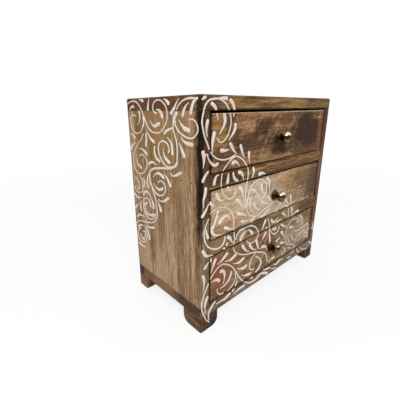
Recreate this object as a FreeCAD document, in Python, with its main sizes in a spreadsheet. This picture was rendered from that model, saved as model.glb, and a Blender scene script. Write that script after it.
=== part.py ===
"""Mini chest of three drawers in mango wood, with turned brass knobs and block feet.

Millimetres. X runs across the width, the front faces -Y and Z is up. The origin is on
the floor under the middle of the whole chest, knobs included. The case is two full-width
boards with the side panels nailed between them, two front rails with runners behind them,
and a back panel in rebates. Each drawer is a rebated front, two grooved sides, a back and a plywood
bottom, and slides straight out towards -Y.
"""
import FreeCAD, Part
import os
import re

import Sketcher

SIZES = {
    # case
    "case_width": 240,
    "case_depth": 120,
    "top_thickness": 12.7,
    "bottom_thickness": 12.7,
    "side_thickness": 11.5,
    "corner_round": 2,
    "top_bevel": 1.2,
    "arris": 0.6,
    "lower_opening": 55.5,
    "middle_opening": 53,
    "upper_opening": 56,
    "lower_rail_height": 15.5,
    "upper_rail_height": 13.5,
    "rail_depth": 40,
    "runner_width": 9,
    "runner_height": 10,
    # back panel
    "back_thickness": 4,
    "back_rebate": 5,
    "back_play": 0.25,
    "back_pin_width": 1.2,
    "back_pin_length": 14,
    "back_pin_inset": 15,
    # nails of the case
    "nail_width": 1.8,
    "nail_length": 30,
    "nail_set": 0.5,
    "nail_point_share": 0.3,
    "board_nail_inset": 22,
    "upper_nail_front_inset": 11.3,
    "upper_nail_rear_inset": 14,
    "lower_nail_front_inset": 13.9,
    "lower_nail_rear_inset": 8,
    # feet
    "foot_height": 17.1,
    "foot_width": 24.5,
    "front_foot_depth": 27.5,
    "rear_foot_depth": 23,
    "foot_curve": 8,
    "foot_nail_length": 24,
    "foot_nail_set": 1,
    "foot_nail_outer_inset": 7,
    "foot_nail_inner_inset": 15,
    # drawer boxes
    "front_recess": 1.4,
    "front_thickness": 10,
    "front_side_gap": 0.8,
    "front_bottom_gap": 0.6,
    "front_lip": 5,
    "upper_gap_left": 2.5,
    "upper_gap_right": 1.8,
    "middle_gap_left": 1,
    "middle_gap_right": 1.2,
    "lower_gap_left": 1,
    "lower_gap_right": 1.2,
    "running_clearance": 0.3,
    "drawer_side_gap": 1,
    "drawer_side_thickness": 7,
    "drawer_side_drop": 2,
    "drawer_back_thickness": 7,
    "drawer_back_drop": 2,
    "drawer_rear_gap": 0.8,
    "drawer_bottom_thickness": 3.2,
    "groove_depth": 3,
    "groove_rise": 4.5,
    "groove_play": 0.2,
    "drawer_pin_width": 1.4,
    "drawer_pin_length": 18,
    "drawer_pin_inset": 13,
    # knobs
    "knob_offset": 1.6,
    "upper_knob_drop": 0.9,
    "middle_knob_drop": 1.6,
    "lower_knob_drop": 1.3,
    "knob_reach": 14.5,
    "knob_head_diameter": 12.7,
    "knob_head_thickness": 8,
    "knob_neck_diameter": 8,
    "knob_collar_diameter": 12.8,
    "knob_collar_thickness": 2.3,
    "knob_collar_bevel": 0.8,
    "knob_flare": 0.9,
    "stud_diameter": 4,
    "stud_play": 0.2,
    "stud_end": 1.5,
    "nut_width": 7,
    "nut_thickness": 3.2,
}

# Levels and widths that several pieces share, as formulas of the sizes above.
OPENING = "(case_width - 2 * side_thickness)"
CASE_FLOOR = "(foot_height + bottom_thickness)"
LOWER_RAIL = f"({CASE_FLOOR} + lower_opening)"
MIDDLE_FLOOR = f"({LOWER_RAIL} + lower_rail_height)"
UPPER_RAIL = f"({MIDDLE_FLOOR} + middle_opening)"
UPPER_FLOOR = f"({UPPER_RAIL} + upper_rail_height)"
CASE_TOP = f"({UPPER_FLOOR} + upper_opening)"
SIDE_HEIGHT = f"({CASE_TOP} - {CASE_FLOOR})"
CASE_MIDDLE = "((knob_reach - front_recess) / 2)"
FRONT = f"({CASE_MIDDLE} - case_depth / 2)"
REAR = f"({CASE_MIDDLE} + case_depth / 2)"
BACK_SHOULDER = "(case_depth - back_thickness)"
UPPER_NAILS = ("upper_nail_front_inset", "(rail_depth - upper_nail_rear_inset)")
LOWER_NAILS = ("lower_nail_front_inset", "(rail_depth - lower_nail_rear_inset)")
FOOT_NAIL_INSETS = ("foot_nail_outer_inset", "foot_nail_inner_inset")
FOOT_DEPTHS = {-1: "front_foot_depth", 1: "rear_foot_depth"}
FOOT_NAIL_GRIP = "(foot_nail_length + foot_nail_set - foot_height)"
SIDES = {"left": -1, "right": 1}
KNOB_TURNS = 4
SAME_PLACE = 0.001

doc = FreeCAD.newDocument("mini_chest")


# ---- sheet, sketches and features ----

def fill_sheet():
    """Write each size and its alias into the spreadsheet."""
    sheet = doc.addObject("Spreadsheet::Sheet", "sizes")
    for row, (alias, value) in enumerate(SIZES.items(), start=1):
        sheet.set(f"A{row}", alias)
        sheet.set(f"B{row}", str(value))
        sheet.setAlias(f"B{row}", alias)
    doc.recompute()


def formula(text):
    """Put the sheet's name before each alias in a formula."""
    def with_sheet(word):
        return f"sizes.{word[0]}" if word[0] in SIZES else word[0]
    return re.sub(r"[a-z_]+", with_sheet, str(text))


def bind(thing, prop, text):
    thing.setExpression(prop, formula(text))


def new_body(label, x="0", y="0", z="0", turn=None):
    """Make an empty body whose place follows the sheet."""
    body = doc.addObject("PartDesign::Body", label)
    body.Label = label
    body.AllowCompound = True
    if turn:
        body.Placement = FreeCAD.Placement(FreeCAD.Vector(), turn)
    bind(body, "Placement.Base.x", x)
    bind(body, "Placement.Base.y", y)
    bind(body, "Placement.Base.z", z)
    return body


def new_sketch(body, name, plane, offset="0"):
    """Attach a sketch to one of the body's origin planes, moved along the plane's normal."""
    sketch = body.newObject("Sketcher::SketchObject", f"{body.Label}_{name}")
    support = next(item for item in body.Origin.OriginFeatures if item.Role == plane)
    sketch.AttachmentSupport = [(support, "")]
    sketch.MapMode = "FlatFace"
    bind(sketch, "AttachmentOffset.Base.z", offset)
    return sketch


def value(text):
    """The number that a formula has now."""
    return float(doc.getObject("sizes").evalExpression(formula(text)))


def spot(corner):
    return FreeCAD.Vector(value(corner[0]), value(corner[1]), 0)


def fix_point(sketch, shape, point, corner):
    """Tie a point of the sketch to the origin by a pair of formulas."""
    for kind, text in zip(("DistanceX", "DistanceY"), corner):
        number = sketch.addConstraint(Sketcher.Constraint(kind, -1, 1, shape, point, value(text)))
        name = f"{kind}_{shape}_{point}"
        sketch.renameConstraint(number, name)
        bind(sketch, f"Constraints.{name}", text)


def add_outline(sketch, corners):
    """Draw a closed outline through corners, each a pair of formulas."""
    count = len(corners)
    first = sketch.GeometryCount
    for here, there in zip(corners, corners[1:] + corners[:1]):
        sketch.addGeometry(Part.LineSegment(spot(here), spot(there)))
    for index in range(count):
        after = first + (index + 1) % count
        sketch.addConstraint(Sketcher.Constraint("Coincident", first + index, 2, after, 1))
    for index, corner in enumerate(corners):
        fix_point(sketch, first + index, 1, corner)


def add_rectangle(sketch, left, right, low, high):
    add_outline(sketch, [(left, low), (right, low), (right, high), (left, high)])


def add_circles(sketch, centres, diameter):
    for centre in centres:
        circle = Part.Circle(spot(centre), FreeCAD.Vector(0, 0, 1), value(diameter) / 2)
        shape = sketch.addGeometry(circle)
        fix_point(sketch, shape, 3, centre)
        number = sketch.addConstraint(Sketcher.Constraint("Diameter", shape, value(diameter)))
        sketch.renameConstraint(number, f"Diameter_{shape}")
        bind(sketch, f"Constraints.Diameter_{shape}", diameter)


def add_squares(sketch, centres, width):
    """Draw the square sections of nails round their centres."""
    for x, y in centres:
        add_rectangle(sketch, f"{x} - {width} / 2", f"{x} + {width} / 2",
                      f"{y} - {width} / 2", f"{y} + {width} / 2")


def extrude(kind, body, sketch, length, backward=False):
    """Pad or pocket a sketch; backward turns the feature's own direction round."""
    feature = body.newObject(f"PartDesign::{kind}", f"{sketch.Name}_{kind.lower()}")
    feature.Profile = sketch
    feature.Reversed = backward
    bind(feature, "Length", length)
    return feature


def mirror_across(body, feature):
    """Repeat a feature on the other side of the body's YZ plane."""
    mirrored = body.newObject("PartDesign::Mirrored", f"{feature.Name}_mirrored")
    mirrored.Originals = [feature]
    middle = next(item for item in body.Origin.OriginFeatures if item.Role == "YZ_Plane")
    mirrored.MirrorPlane = (middle, [""])
    body.Tip = mirrored


def soften(body, name, radius, chosen, kind="Fillet"):
    """Round or chamfer the edges that a test picks out."""
    doc.recompute()
    base = body.Tip
    names = [f"Edge{index}" for index, edge in enumerate(base.Shape.Edges, start=1)
             if not edge.Degenerated and chosen(edge)]
    feature = body.newObject(f"PartDesign::{kind}", f"{body.Label}_{name}")
    feature.Base = (base, names)
    bind(feature, "Radius" if kind == "Fillet" else "Size", radius)
    return feature


def spans(edge, axis):
    """Say whether a straight edge runs along the X, Y or Z axis."""
    if not isinstance(edge.Curve, Part.Line):
        return False
    return abs(getattr(edge.Curve.Direction, axis)) > 0.999


def lies_at(edge, axis, place):
    """Say whether an edge lies wholly in the plane where an axis has this value."""
    box = edge.BoundBox
    low = getattr(box, f"{axis.upper()}Min")
    high = getattr(box, f"{axis.upper()}Max")
    return abs(low - place) < SAME_PLACE and abs(high - place) < SAME_PLACE


def nails(label, plane, offset, centres, width, length, backward, place, both_sides=False):
    """Drive a group of square-wire brads: padded squares whose far ends are chamfered to points."""
    body = new_body(label, *place)
    sketch = new_sketch(body, "heads", plane, offset)
    add_squares(sketch, centres, width)
    shank = extrude("Pad", body, sketch, length, backward)
    doc.recompute()
    axis = {"XY_Plane": "z", "XZ_Plane": "y", "YZ_Plane": "x"}[plane]
    inward = {"XY_Plane": 1, "XZ_Plane": -1, "YZ_Plane": 1}[plane] * (-1 if backward else 1)
    box = shank.Shape.BoundBox
    tip = getattr(box, f"{axis.upper()}{'Max' if inward > 0 else 'Min'}")
    soften(body, "points", f"{width} * nail_point_share", lambda edge: lies_at(edge, axis, tip), "Chamfer")
    if both_sides:
        mirror_across(body, shank)
        body.Tip.Originals = [item for item in body.Group if item.Name.endswith(("_pad", "_points"))]
    return body


# ---- case ----

def board_nail_centres():
    """Where the top and bottom boards are nailed to the side panels."""
    across = "(case_width / 2 - side_thickness / 2)"
    along = "(case_depth / 2 - board_nail_inset)"
    return [(f"{side} * {across}", f"{step} * {along}") for side in (-1, 1) for step in (-1, 0, 1)]


def case_board(label, z, thickness):
    """A full-width board with rounded corners, drilled for the nails of the side panels."""
    body = new_body(label, y=CASE_MIDDLE, z=z)
    outline = new_sketch(body, "outline", "XY_Plane")
    add_rectangle(outline, "-case_width / 2", "case_width / 2",
                  "-case_depth / 2", "case_depth / 2")
    extrude("Pad", body, outline, thickness)
    soften(body, "corners", "corner_round", lambda edge: spans(edge, "z"))
    holes = new_sketch(body, "nail_holes", "XY_Plane")
    add_squares(holes, board_nail_centres(), "nail_width")
    extrude("Pocket", body, holes, thickness, backward=True)
    return body


def top_board():
    body = case_board("top_board", CASE_TOP, "top_thickness")
    soften(body, "rim", "top_bevel", is_top_rim, "Chamfer")


def is_top_rim(edge):
    """The long edges and corner arcs round the upper face, but not the nail holes."""
    nail_hole = spans(edge, "x") or spans(edge, "y")
    nail_hole = nail_hole and edge.Length < 2 * value("nail_width")
    return lies_at(edge, "z", value("top_thickness")) and not nail_hole


def foot_nail_centres():
    """Two nails up through each foot, in line across its width."""
    return [(f"{x} * (case_width / 2 - {inset})", f"{y} * (case_depth - {depth}) / 2")
            for x in (-1, 1) for y, depth in FOOT_DEPTHS.items() for inset in FOOT_NAIL_INSETS]


def bottom_board():
    body = case_board("bottom_board", "foot_height", "bottom_thickness")
    holes = new_sketch(body, "foot_nail_holes", "XY_Plane")
    add_squares(holes, foot_nail_centres(), "nail_width")
    extrude("Pocket", body, holes, FOOT_NAIL_GRIP, backward=True)


def rail_nail_centres(floor):
    """Nail places in the YZ plane, from the case's front edge and above a floor level."""
    upper = [(y, f"{UPPER_RAIL} + upper_rail_height / 2 - {floor}") for y in UPPER_NAILS]
    lower = [(y, f"{LOWER_RAIL} + lower_rail_height / 2 - {floor}") for y in LOWER_NAILS]
    return upper + lower


def back_pin_heights():
    """Four pins up each side of the back panel, evenly spaced above the case's floor."""
    spacing = f"({SIDE_HEIGHT} - 2 * back_pin_inset) / 3"
    return [f"back_pin_inset + {step} * {spacing}" for step in range(4)]


def side_panel(name, side):
    """A side panel, rebated at the back and drilled for nails from above, below and outside."""
    body = new_body(f"{name}_side_panel", f"{side} * case_width / 2", FRONT, CASE_FLOOR)
    inner = f"{-side} * side_thickness"
    shoulder = f"{-side} * (side_thickness - back_rebate)"
    section = new_sketch(body, "section", "XY_Plane")
    add_outline(section, [
        ("0", "0"), (inner, "0"), (inner, BACK_SHOULDER),
        (shoulder, BACK_SHOULDER), (shoulder, "case_depth"), ("0", "case_depth"),
    ])
    extrude("Pad", body, section, SIDE_HEIGHT)
    soften(body, "corners", "corner_round", lambda edge: spans(edge, "z") and lies_at(edge, "x", 0))

    rail_holes = new_sketch(body, "rail_nail_holes", "YZ_Plane")
    add_squares(rail_holes, rail_nail_centres(CASE_FLOOR), "nail_width")
    extrude("Pocket", body, rail_holes, "side_thickness", backward=side < 0)

    middle = f"{-side} * side_thickness / 2"
    ends = [(middle, y) for y in
            ("board_nail_inset", "case_depth / 2", "case_depth - board_nail_inset")]
    for end, level, board in (("top", SIDE_HEIGHT, "top_thickness"),
                              ("bottom", "0", "bottom_thickness")):
        holes = new_sketch(body, f"{end}_nail_holes", "XY_Plane", level)
        add_squares(holes, ends, "nail_width")
        depth = f"nail_length + nail_set - {board}"
        extrude("Pocket", body, holes, depth, backward=end == "bottom")

    pin_holes = new_sketch(body, "pin_holes", "XZ_Plane", f"-{BACK_SHOULDER}")
    across = f"{-side} * (side_thickness - back_rebate / 2)"
    add_squares(pin_holes, [(across, z) for z in back_pin_heights()], "back_pin_width")
    extrude("Pocket", body, pin_holes, "back_pin_length - back_thickness", backward=True)


def front_rail(name, z, height, nail_places):
    """A rail between the side panels, which carries the front of the drawer above it."""
    body = new_body(f"{name}_rail", "0", FRONT, z)
    outline = new_sketch(body, "outline", "XY_Plane")
    add_rectangle(outline, f"-{OPENING} / 2", f"{OPENING} / 2", "0", "rail_depth")
    extrude("Pad", body, outline, height)
    soften(body, "arris", "arris",
           lambda edge: spans(edge, "x") and lies_at(edge, "y", 0), "Chamfer")
    holes = new_sketch(body, "nail_holes", "YZ_Plane", f"-{OPENING} / 2")
    add_squares(holes, [(y, f"{height} / 2") for y in nail_places], "nail_width")
    depth = "nail_length + nail_set - side_thickness"
    drilled = extrude("Pocket", body, holes, depth, backward=True)
    mirror_across(body, drilled)


def runner(level, z, name, side):
    """A strip glued to a side panel behind a rail, level with the rail's upper face."""
    body = new_body(f"{level}_{name}_runner", f"{side} * {OPENING} / 2", f"{FRONT} + rail_depth", z)
    outline = new_sketch(body, "outline", "XY_Plane")
    corners = [("0", "0"), (f"{-side} * runner_width", "0")]
    corners += [(f"{-side} * runner_width", f"{BACK_SHOULDER} - rail_depth"),
                ("0", f"{BACK_SHOULDER} - rail_depth")]
    add_outline(outline, corners)
    extrude("Pad", body, outline, "runner_height", backward=True)


def back_panel():
    """A thin panel in the rebates of the side panels, flush with the back of the case."""
    body = new_body("back_panel", "0", f"{FRONT} + {BACK_SHOULDER}", CASE_FLOOR)
    outline = new_sketch(body, "outline", "XZ_Plane")
    reach = f"({OPENING} / 2 + back_rebate - back_play)"
    add_rectangle(outline, f"-{reach}", reach, "0", SIDE_HEIGHT)
    extrude("Pad", body, outline, "back_thickness", backward=True)
    holes = new_sketch(body, "pin_holes", "XZ_Plane")
    add_squares(holes, back_pin_centres(), "back_pin_width")
    extrude("Pocket", body, holes, "back_thickness")


def back_pin_centres():
    across = f"({OPENING} / 2 + back_rebate / 2)"
    return [(f"{side} * {across}", z) for side in (-1, 1) for z in back_pin_heights()]


def foot(label, x_side, y_side):
    """A block foot whose two inner faces run down into a quarter-round at the floor."""
    body = new_body(label, f"{x_side} * case_width / 2", REAR if y_side > 0 else FRONT)
    outline = new_sketch(body, "outline", "XY_Plane")
    inner_x = f"{-x_side} * foot_width"
    inner_y = f"{-y_side} * {FOOT_DEPTHS[y_side]}"
    add_outline(outline, [("0", "0"), (inner_x, "0"), (inner_x, inner_y), ("0", inner_y)])
    extrude("Pad", body, outline, "foot_height")

    def is_outer_corner(edge):
        return spans(edge, "z") and lies_at(edge, "x", 0) and lies_at(edge, "y", 0)

    def is_inner_foot_edge(edge):
        on_inner_x = lies_at(edge, "x", value(inner_x))
        on_inner_y = lies_at(edge, "y", value(inner_y))
        return lies_at(edge, "z", 0) and (on_inner_x or on_inner_y)

    soften(body, "corner", "corner_round", is_outer_corner)
    soften(body, "curve", "min(foot_curve; foot_height - 1)", is_inner_foot_edge)

    holes = new_sketch(body, "nail_holes", "XY_Plane")
    places = [(f"{-x_side} * {inset}", f"{inner_y} / 2") for inset in FOOT_NAIL_INSETS]
    add_squares(holes, places, "nail_width")
    extrude("Pocket", body, holes, "foot_height", backward=True)


def case():
    top_board()
    bottom_board()
    for name, side in SIDES.items():
        side_panel(name, side)
    front_rail("upper", UPPER_RAIL, "upper_rail_height", UPPER_NAILS)
    front_rail("lower", LOWER_RAIL, "lower_rail_height", LOWER_NAILS)
    for name, side in SIDES.items():
        runner("upper", UPPER_FLOOR, name, side)
        runner("lower", MIDDLE_FLOOR, name, side)
    back_panel()
    for depth_name, y_side in (("front", -1), ("rear", 1)):
        for name, x_side in SIDES.items():
            foot(f"{depth_name}_{name}_foot", x_side, y_side)
    nails("rail_nails", "YZ_Plane", "-case_width / 2 + nail_set", rail_nail_centres("0"),
          "nail_width", "nail_length", False, ("0", FRONT, "0"), both_sides=True)
    nails("top_board_nails", "XY_Plane", "top_thickness - nail_set", board_nail_centres(),
          "nail_width", "nail_length", True, ("0", CASE_MIDDLE, CASE_TOP))
    nails("bottom_board_nails", "XY_Plane", "nail_set", board_nail_centres(),
          "nail_width", "nail_length", False, ("0", CASE_MIDDLE, "foot_height"))
    nails("foot_nails", "XY_Plane", "0", foot_nail_centres(),
          "nail_width", "foot_nail_length", False, ("0", CASE_MIDDLE, "foot_nail_set"))
    nails("back_panel_pins", "XZ_Plane", "0", back_pin_centres(),
          "back_pin_width", "back_pin_length", False, ("0", REAR, CASE_FLOOR))


# ---- drawers ----

# In a drawer's frame y is 0 on the face of its front and z is 0 on what it runs on.
HALF_BOX = f"({OPENING} / 2 - drawer_side_gap)"
HALF_INSIDE = f"({HALF_BOX} - drawer_side_thickness)"
HALF_FRONT = f"({OPENING} / 2 - front_side_gap)"
DRAWER_LENGTH = f"({BACK_SHOULDER} - front_recess - drawer_rear_gap)"
GROOVE_FLOOR = "(running_clearance + groove_rise)"
GROOVE_HEIGHT = "(drawer_bottom_thickness + groove_play)"
PIN_ROWS = ("(front_lip + (front_thickness - front_lip) / 2)",
            f"({DRAWER_LENGTH} - drawer_back_thickness / 2)")
PIN_DEPTH = "(drawer_pin_length - drawer_side_thickness)"


def drawer_body(label, floor):
    return new_body(label, "0", f"{FRONT} + front_recess", floor)


def pin_levels(side_top):
    return ("running_clearance + drawer_pin_inset", f"{side_top} - drawer_pin_inset")


def drawer_front(name, floor, opening, side_top):
    """The front board: planed to its opening, rebated for the sides, grooved and bored."""
    body = drawer_body(f"{name}_drawer_front", floor)
    face = new_sketch(body, "face", "XZ_Plane")
    add_outline(face, [
        (f"-{HALF_FRONT}", "front_bottom_gap"),
        (HALF_FRONT, "front_bottom_gap"),
        (HALF_FRONT, f"{opening} - {name}_gap_right"),
        (f"-{HALF_FRONT}", f"{opening} - {name}_gap_left"),
    ])
    extrude("Pad", body, face, "front_thickness", backward=True)
    soften(body, "arris", "arris", lambda edge: lies_at(edge, "y", 0), "Chamfer")

    rebate = new_sketch(body, "left_rebate", "XZ_Plane", "-front_thickness")
    add_rectangle(rebate, f"-{HALF_FRONT} - 1", f"-{HALF_INSIDE}", "0", opening)
    cut = extrude("Pocket", body, rebate, "front_thickness - front_lip", backward=True)
    mirror_across(body, cut)
    groove = new_sketch(body, "groove", "XZ_Plane", "-front_thickness")
    add_rectangle(groove, f"-{HALF_INSIDE}", HALF_INSIDE,
                  GROOVE_FLOOR, f"{GROOVE_FLOOR} + {GROOVE_HEIGHT}")
    extrude("Pocket", body, groove, "groove_depth", backward=True)

    pin_holes = new_sketch(body, "pin_holes", "YZ_Plane", f"-{HALF_INSIDE}")
    add_squares(pin_holes, [(PIN_ROWS[0], z) for z in pin_levels(side_top)], "drawer_pin_width")
    drilled = extrude("Pocket", body, pin_holes, PIN_DEPTH, backward=True)
    mirror_across(body, drilled)
    bore = new_sketch(body, "knob_bore", "XZ_Plane")
    add_circles(bore, [("knob_offset", knob_level(name, opening))], "stud_diameter + stud_play")
    extrude("Pocket", body, bore, "front_thickness")


def drawer_side(name, floor, side_top, side_name, side):
    """A side board, grooved inside for the bottom, from the front's rebate to the back."""
    body = drawer_body(f"{name}_drawer_{side_name}_side", floor)
    outer = f"{side} * {HALF_BOX}"
    inner = f"{side} * {HALF_INSIDE}"
    groove = f"{side} * ({HALF_INSIDE} + groove_depth)"
    section = new_sketch(body, "section", "XZ_Plane", "-front_lip")
    add_outline(section, [
        (outer, "running_clearance"), (inner, "running_clearance"),
        (inner, GROOVE_FLOOR), (groove, GROOVE_FLOOR),
        (groove, f"{GROOVE_FLOOR} + {GROOVE_HEIGHT}"), (inner, f"{GROOVE_FLOOR} + {GROOVE_HEIGHT}"),
        (inner, side_top), (outer, side_top),
    ])
    extrude("Pad", body, section, f"{DRAWER_LENGTH} - front_lip", backward=True)
    holes = new_sketch(body, "pin_holes", "YZ_Plane", outer)
    add_squares(holes, [(y, z) for y in PIN_ROWS for z in pin_levels(side_top)],
                "drawer_pin_width")
    extrude("Pocket", body, holes, "drawer_side_thickness", backward=side < 0)


def drawer_back(name, floor, side_top):
    """The back board, which stands on the bottom between the sides."""
    body = drawer_body(f"{name}_drawer_back", floor)
    face = new_sketch(body, "face", "XZ_Plane", f"-({DRAWER_LENGTH} - drawer_back_thickness)")
    add_rectangle(face, f"-{HALF_INSIDE}", HALF_INSIDE,
                  f"{GROOVE_FLOOR} + drawer_bottom_thickness", f"{side_top} - drawer_back_drop")
    extrude("Pad", body, face, "drawer_back_thickness", backward=True)
    holes = new_sketch(body, "pin_holes", "YZ_Plane", f"-{HALF_INSIDE}")
    add_squares(holes, [(PIN_ROWS[1], z) for z in pin_levels(side_top)], "drawer_pin_width")
    drilled = extrude("Pocket", body, holes, PIN_DEPTH, backward=True)
    mirror_across(body, drilled)


def drawer_bottom(name, floor):
    """A plywood bottom in the grooves, slid in from the rear under the back."""
    body = drawer_body(f"{name}_drawer_bottom", floor)
    plan = new_sketch(body, "plan", "XY_Plane", GROOVE_FLOOR)
    reach = f"({HALF_INSIDE} + groove_depth - groove_play)"
    add_rectangle(plan, f"-{reach}", reach,
                  "front_thickness - groove_depth + groove_play", DRAWER_LENGTH)
    extrude("Pad", body, plan, "drawer_bottom_thickness")


def knob_level(name, opening):
    """The knob sits at half the height of the front, less its own drop."""
    upper_edge = f"({opening} - ({name}_gap_left + {name}_gap_right) / 2)"
    return f"((front_bottom_gap + {upper_edge}) / 2 - {name}_knob_drop)"


def knob_part(label, floor, name, opening):
    """A body on the knob's axis: z is 0 on the front's face and grows out of the drawer."""
    outward = FreeCAD.Rotation(FreeCAD.Vector(1, 0, 0), 90)
    level = f"{floor} + {knob_level(name, opening)}"
    return new_body(label, "knob_offset", f"{FRONT} + front_recess", level, outward)


def oval_head():
    """Corners of the knob's oval head, in even turns of its ellipse from neck to front."""
    start = "acos(knob_neck_diameter / knob_head_diameter)"
    corners = []
    for step in range(KNOB_TURNS):
        turn = f"({step} / {KNOB_TURNS} * (90 deg + {start}) - {start})"
        corners.append((
            f"knob_head_diameter / 2 * cos({turn})",
            f"knob_reach + knob_head_thickness / 2 * (sin({turn}) - 1)",
        ))
    return corners + [("0", "knob_reach")]


def knob(name, floor, opening):
    """A turned knob: stud, bevelled collar, flared neck and oval head."""
    body = knob_part(f"{name}_knob", floor, name, opening)
    stud_length = "(front_thickness + nut_thickness + stud_end)"
    stud = "stud_diameter / 2"
    collar = "knob_collar_diameter / 2"
    collar_top = "knob_collar_thickness"
    neck = "knob_neck_diameter / 2"
    profile = new_sketch(body, "profile", "XZ_Plane")
    add_outline(profile, [
        ("0", f"-{stud_length}"), (stud, f"-{stud_length}"), (stud, "0"), (collar, "0"),
        (collar, f"{collar_top} - knob_collar_bevel"),
        (f"{collar} - knob_collar_bevel", collar_top),
        (f"{neck} + knob_flare", collar_top), (neck, f"{collar_top} + knob_flare"),
    ] + oval_head())
    turned = body.newObject("PartDesign::Revolution", f"{body.Label}_turned")
    turned.Profile = profile
    turned.ReferenceAxis = (profile, ["V_Axis"])
    turned.Angle = 360


def knob_nut(name, floor, opening):
    body = knob_part(f"{name}_knob_nut", floor, name, opening)
    hexagon = new_sketch(body, "hexagon", "XY_Plane", "-front_thickness")
    across = "nut_width / 2"
    corner = "nut_width / 2 / cos(30deg)"
    add_outline(hexagon, [
        (f"{corner}", "0"), (f"{corner} / 2", across), (f"-{corner} / 2", across),
        (f"-{corner}", "0"), (f"-{corner} / 2", f"-{across}"), (f"{corner} / 2", f"-{across}"),
    ])
    add_circles(hexagon, [("0", "0")], "stud_diameter")
    extrude("Pad", body, hexagon, "nut_thickness", backward=True)


def drawer(name, floor):
    opening = f"{name}_opening"
    tallest_gap = f"max({name}_gap_left; {name}_gap_right)"
    side_top = f"({opening} - {tallest_gap} - drawer_side_drop)"
    drawer_front(name, floor, opening, side_top)
    for side_name, side in SIDES.items():
        drawer_side(name, floor, side_top, side_name, side)
    drawer_back(name, floor, side_top)
    drawer_bottom(name, floor)
    centres = [(y, z) for y in PIN_ROWS for z in pin_levels(side_top)]
    nails(f"{name}_drawer_pins", "YZ_Plane", f"-{HALF_BOX}", centres, "drawer_pin_width",
          "drawer_pin_length", False, ("0", f"{FRONT} + front_recess", floor), both_sides=True)
    knob(name, floor, opening)
    knob_nut(name, floor, opening)


# ---- build, check and write ----

def check_features():
    """Stop if a feature failed, or if a cut took nothing away."""
    for item in doc.Objects:
        if "Invalid" in item.State or "Error" in item.State:
            raise RuntimeError(f"{item.Name} failed: {item.State}")
        if item.TypeId == "PartDesign::Pocket" and item.BaseFeature:
            if item.BaseFeature.Shape.Volume - item.Shape.Volume < 0.1:
                raise RuntimeError(f"{item.Name} cuts nothing")


def write_parts():
    os.makedirs("parts", exist_ok=True)
    for body in doc.Objects:
        if body.TypeId != "PartDesign::Body":
            continue
        if body.Shape.isNull() or not body.Shape.isValid():
            raise RuntimeError(f"{body.Label} has no valid shape")
        body.Shape.exportStep(f"parts/{body.Label}.step")


fill_sheet()
case()
drawer("lower", CASE_FLOOR)
drawer("middle", MIDDLE_FLOOR)
drawer("upper", UPPER_FLOOR)
doc.recompute()
check_features()
write_parts()
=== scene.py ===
import bmesh
import bpy
import numpy as np
from mathutils import Matrix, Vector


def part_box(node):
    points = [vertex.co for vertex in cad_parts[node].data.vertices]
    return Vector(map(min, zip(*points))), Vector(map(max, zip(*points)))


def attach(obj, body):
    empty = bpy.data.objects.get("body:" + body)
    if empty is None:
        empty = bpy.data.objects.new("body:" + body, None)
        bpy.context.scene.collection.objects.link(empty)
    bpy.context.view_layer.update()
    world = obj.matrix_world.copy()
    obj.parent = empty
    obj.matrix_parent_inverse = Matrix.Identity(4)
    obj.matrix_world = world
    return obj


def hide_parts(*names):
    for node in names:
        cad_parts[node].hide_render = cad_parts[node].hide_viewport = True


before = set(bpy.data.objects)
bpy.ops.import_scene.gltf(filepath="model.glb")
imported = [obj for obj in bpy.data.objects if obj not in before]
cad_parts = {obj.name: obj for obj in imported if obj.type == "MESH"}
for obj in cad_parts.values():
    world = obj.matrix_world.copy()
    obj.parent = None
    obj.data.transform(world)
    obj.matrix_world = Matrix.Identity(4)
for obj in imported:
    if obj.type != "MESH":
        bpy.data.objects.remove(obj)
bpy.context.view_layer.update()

# ------------------------------------------------------
# Side panels
# Two boards of reclaimed mango wood stand between the top and bottom boards
# with their grain upright. They are waxed, and scorched along the front edge.


class Flow:
    """One output among a tree's nodes. Arithmetic on it adds Math nodes."""

    def __init__(self, nodes, socket):
        self.nodes = nodes
        self.socket = socket

    def math(self, operation, first, second):
        return self.nodes.node("ShaderNodeMath", {"operation": operation}, {0: first, 1: second})

    def __add__(self, other):
        return self.math("ADD", self, other)

    def __sub__(self, other):
        return self.math("SUBTRACT", self, other)

    def __rsub__(self, other):
        return self.math("SUBTRACT", other, self)

    def __mul__(self, other):
        return self.math("MULTIPLY", self, other)

    def least(self, other):
        return self.math("MINIMUM", self, other)

    def most(self, other):
        return self.math("MAXIMUM", self, other)

    def eased(self, start, end):
        """0 at start and 1 at end, easing in and out between them."""
        rise = {0: self, 1: start, 2: end}
        return self.nodes.node("ShaderNodeMapRange", {"interpolation_type": "SMOOTHSTEP"}, rise)

    __radd__ = __add__
    __rmul__ = __mul__


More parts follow.
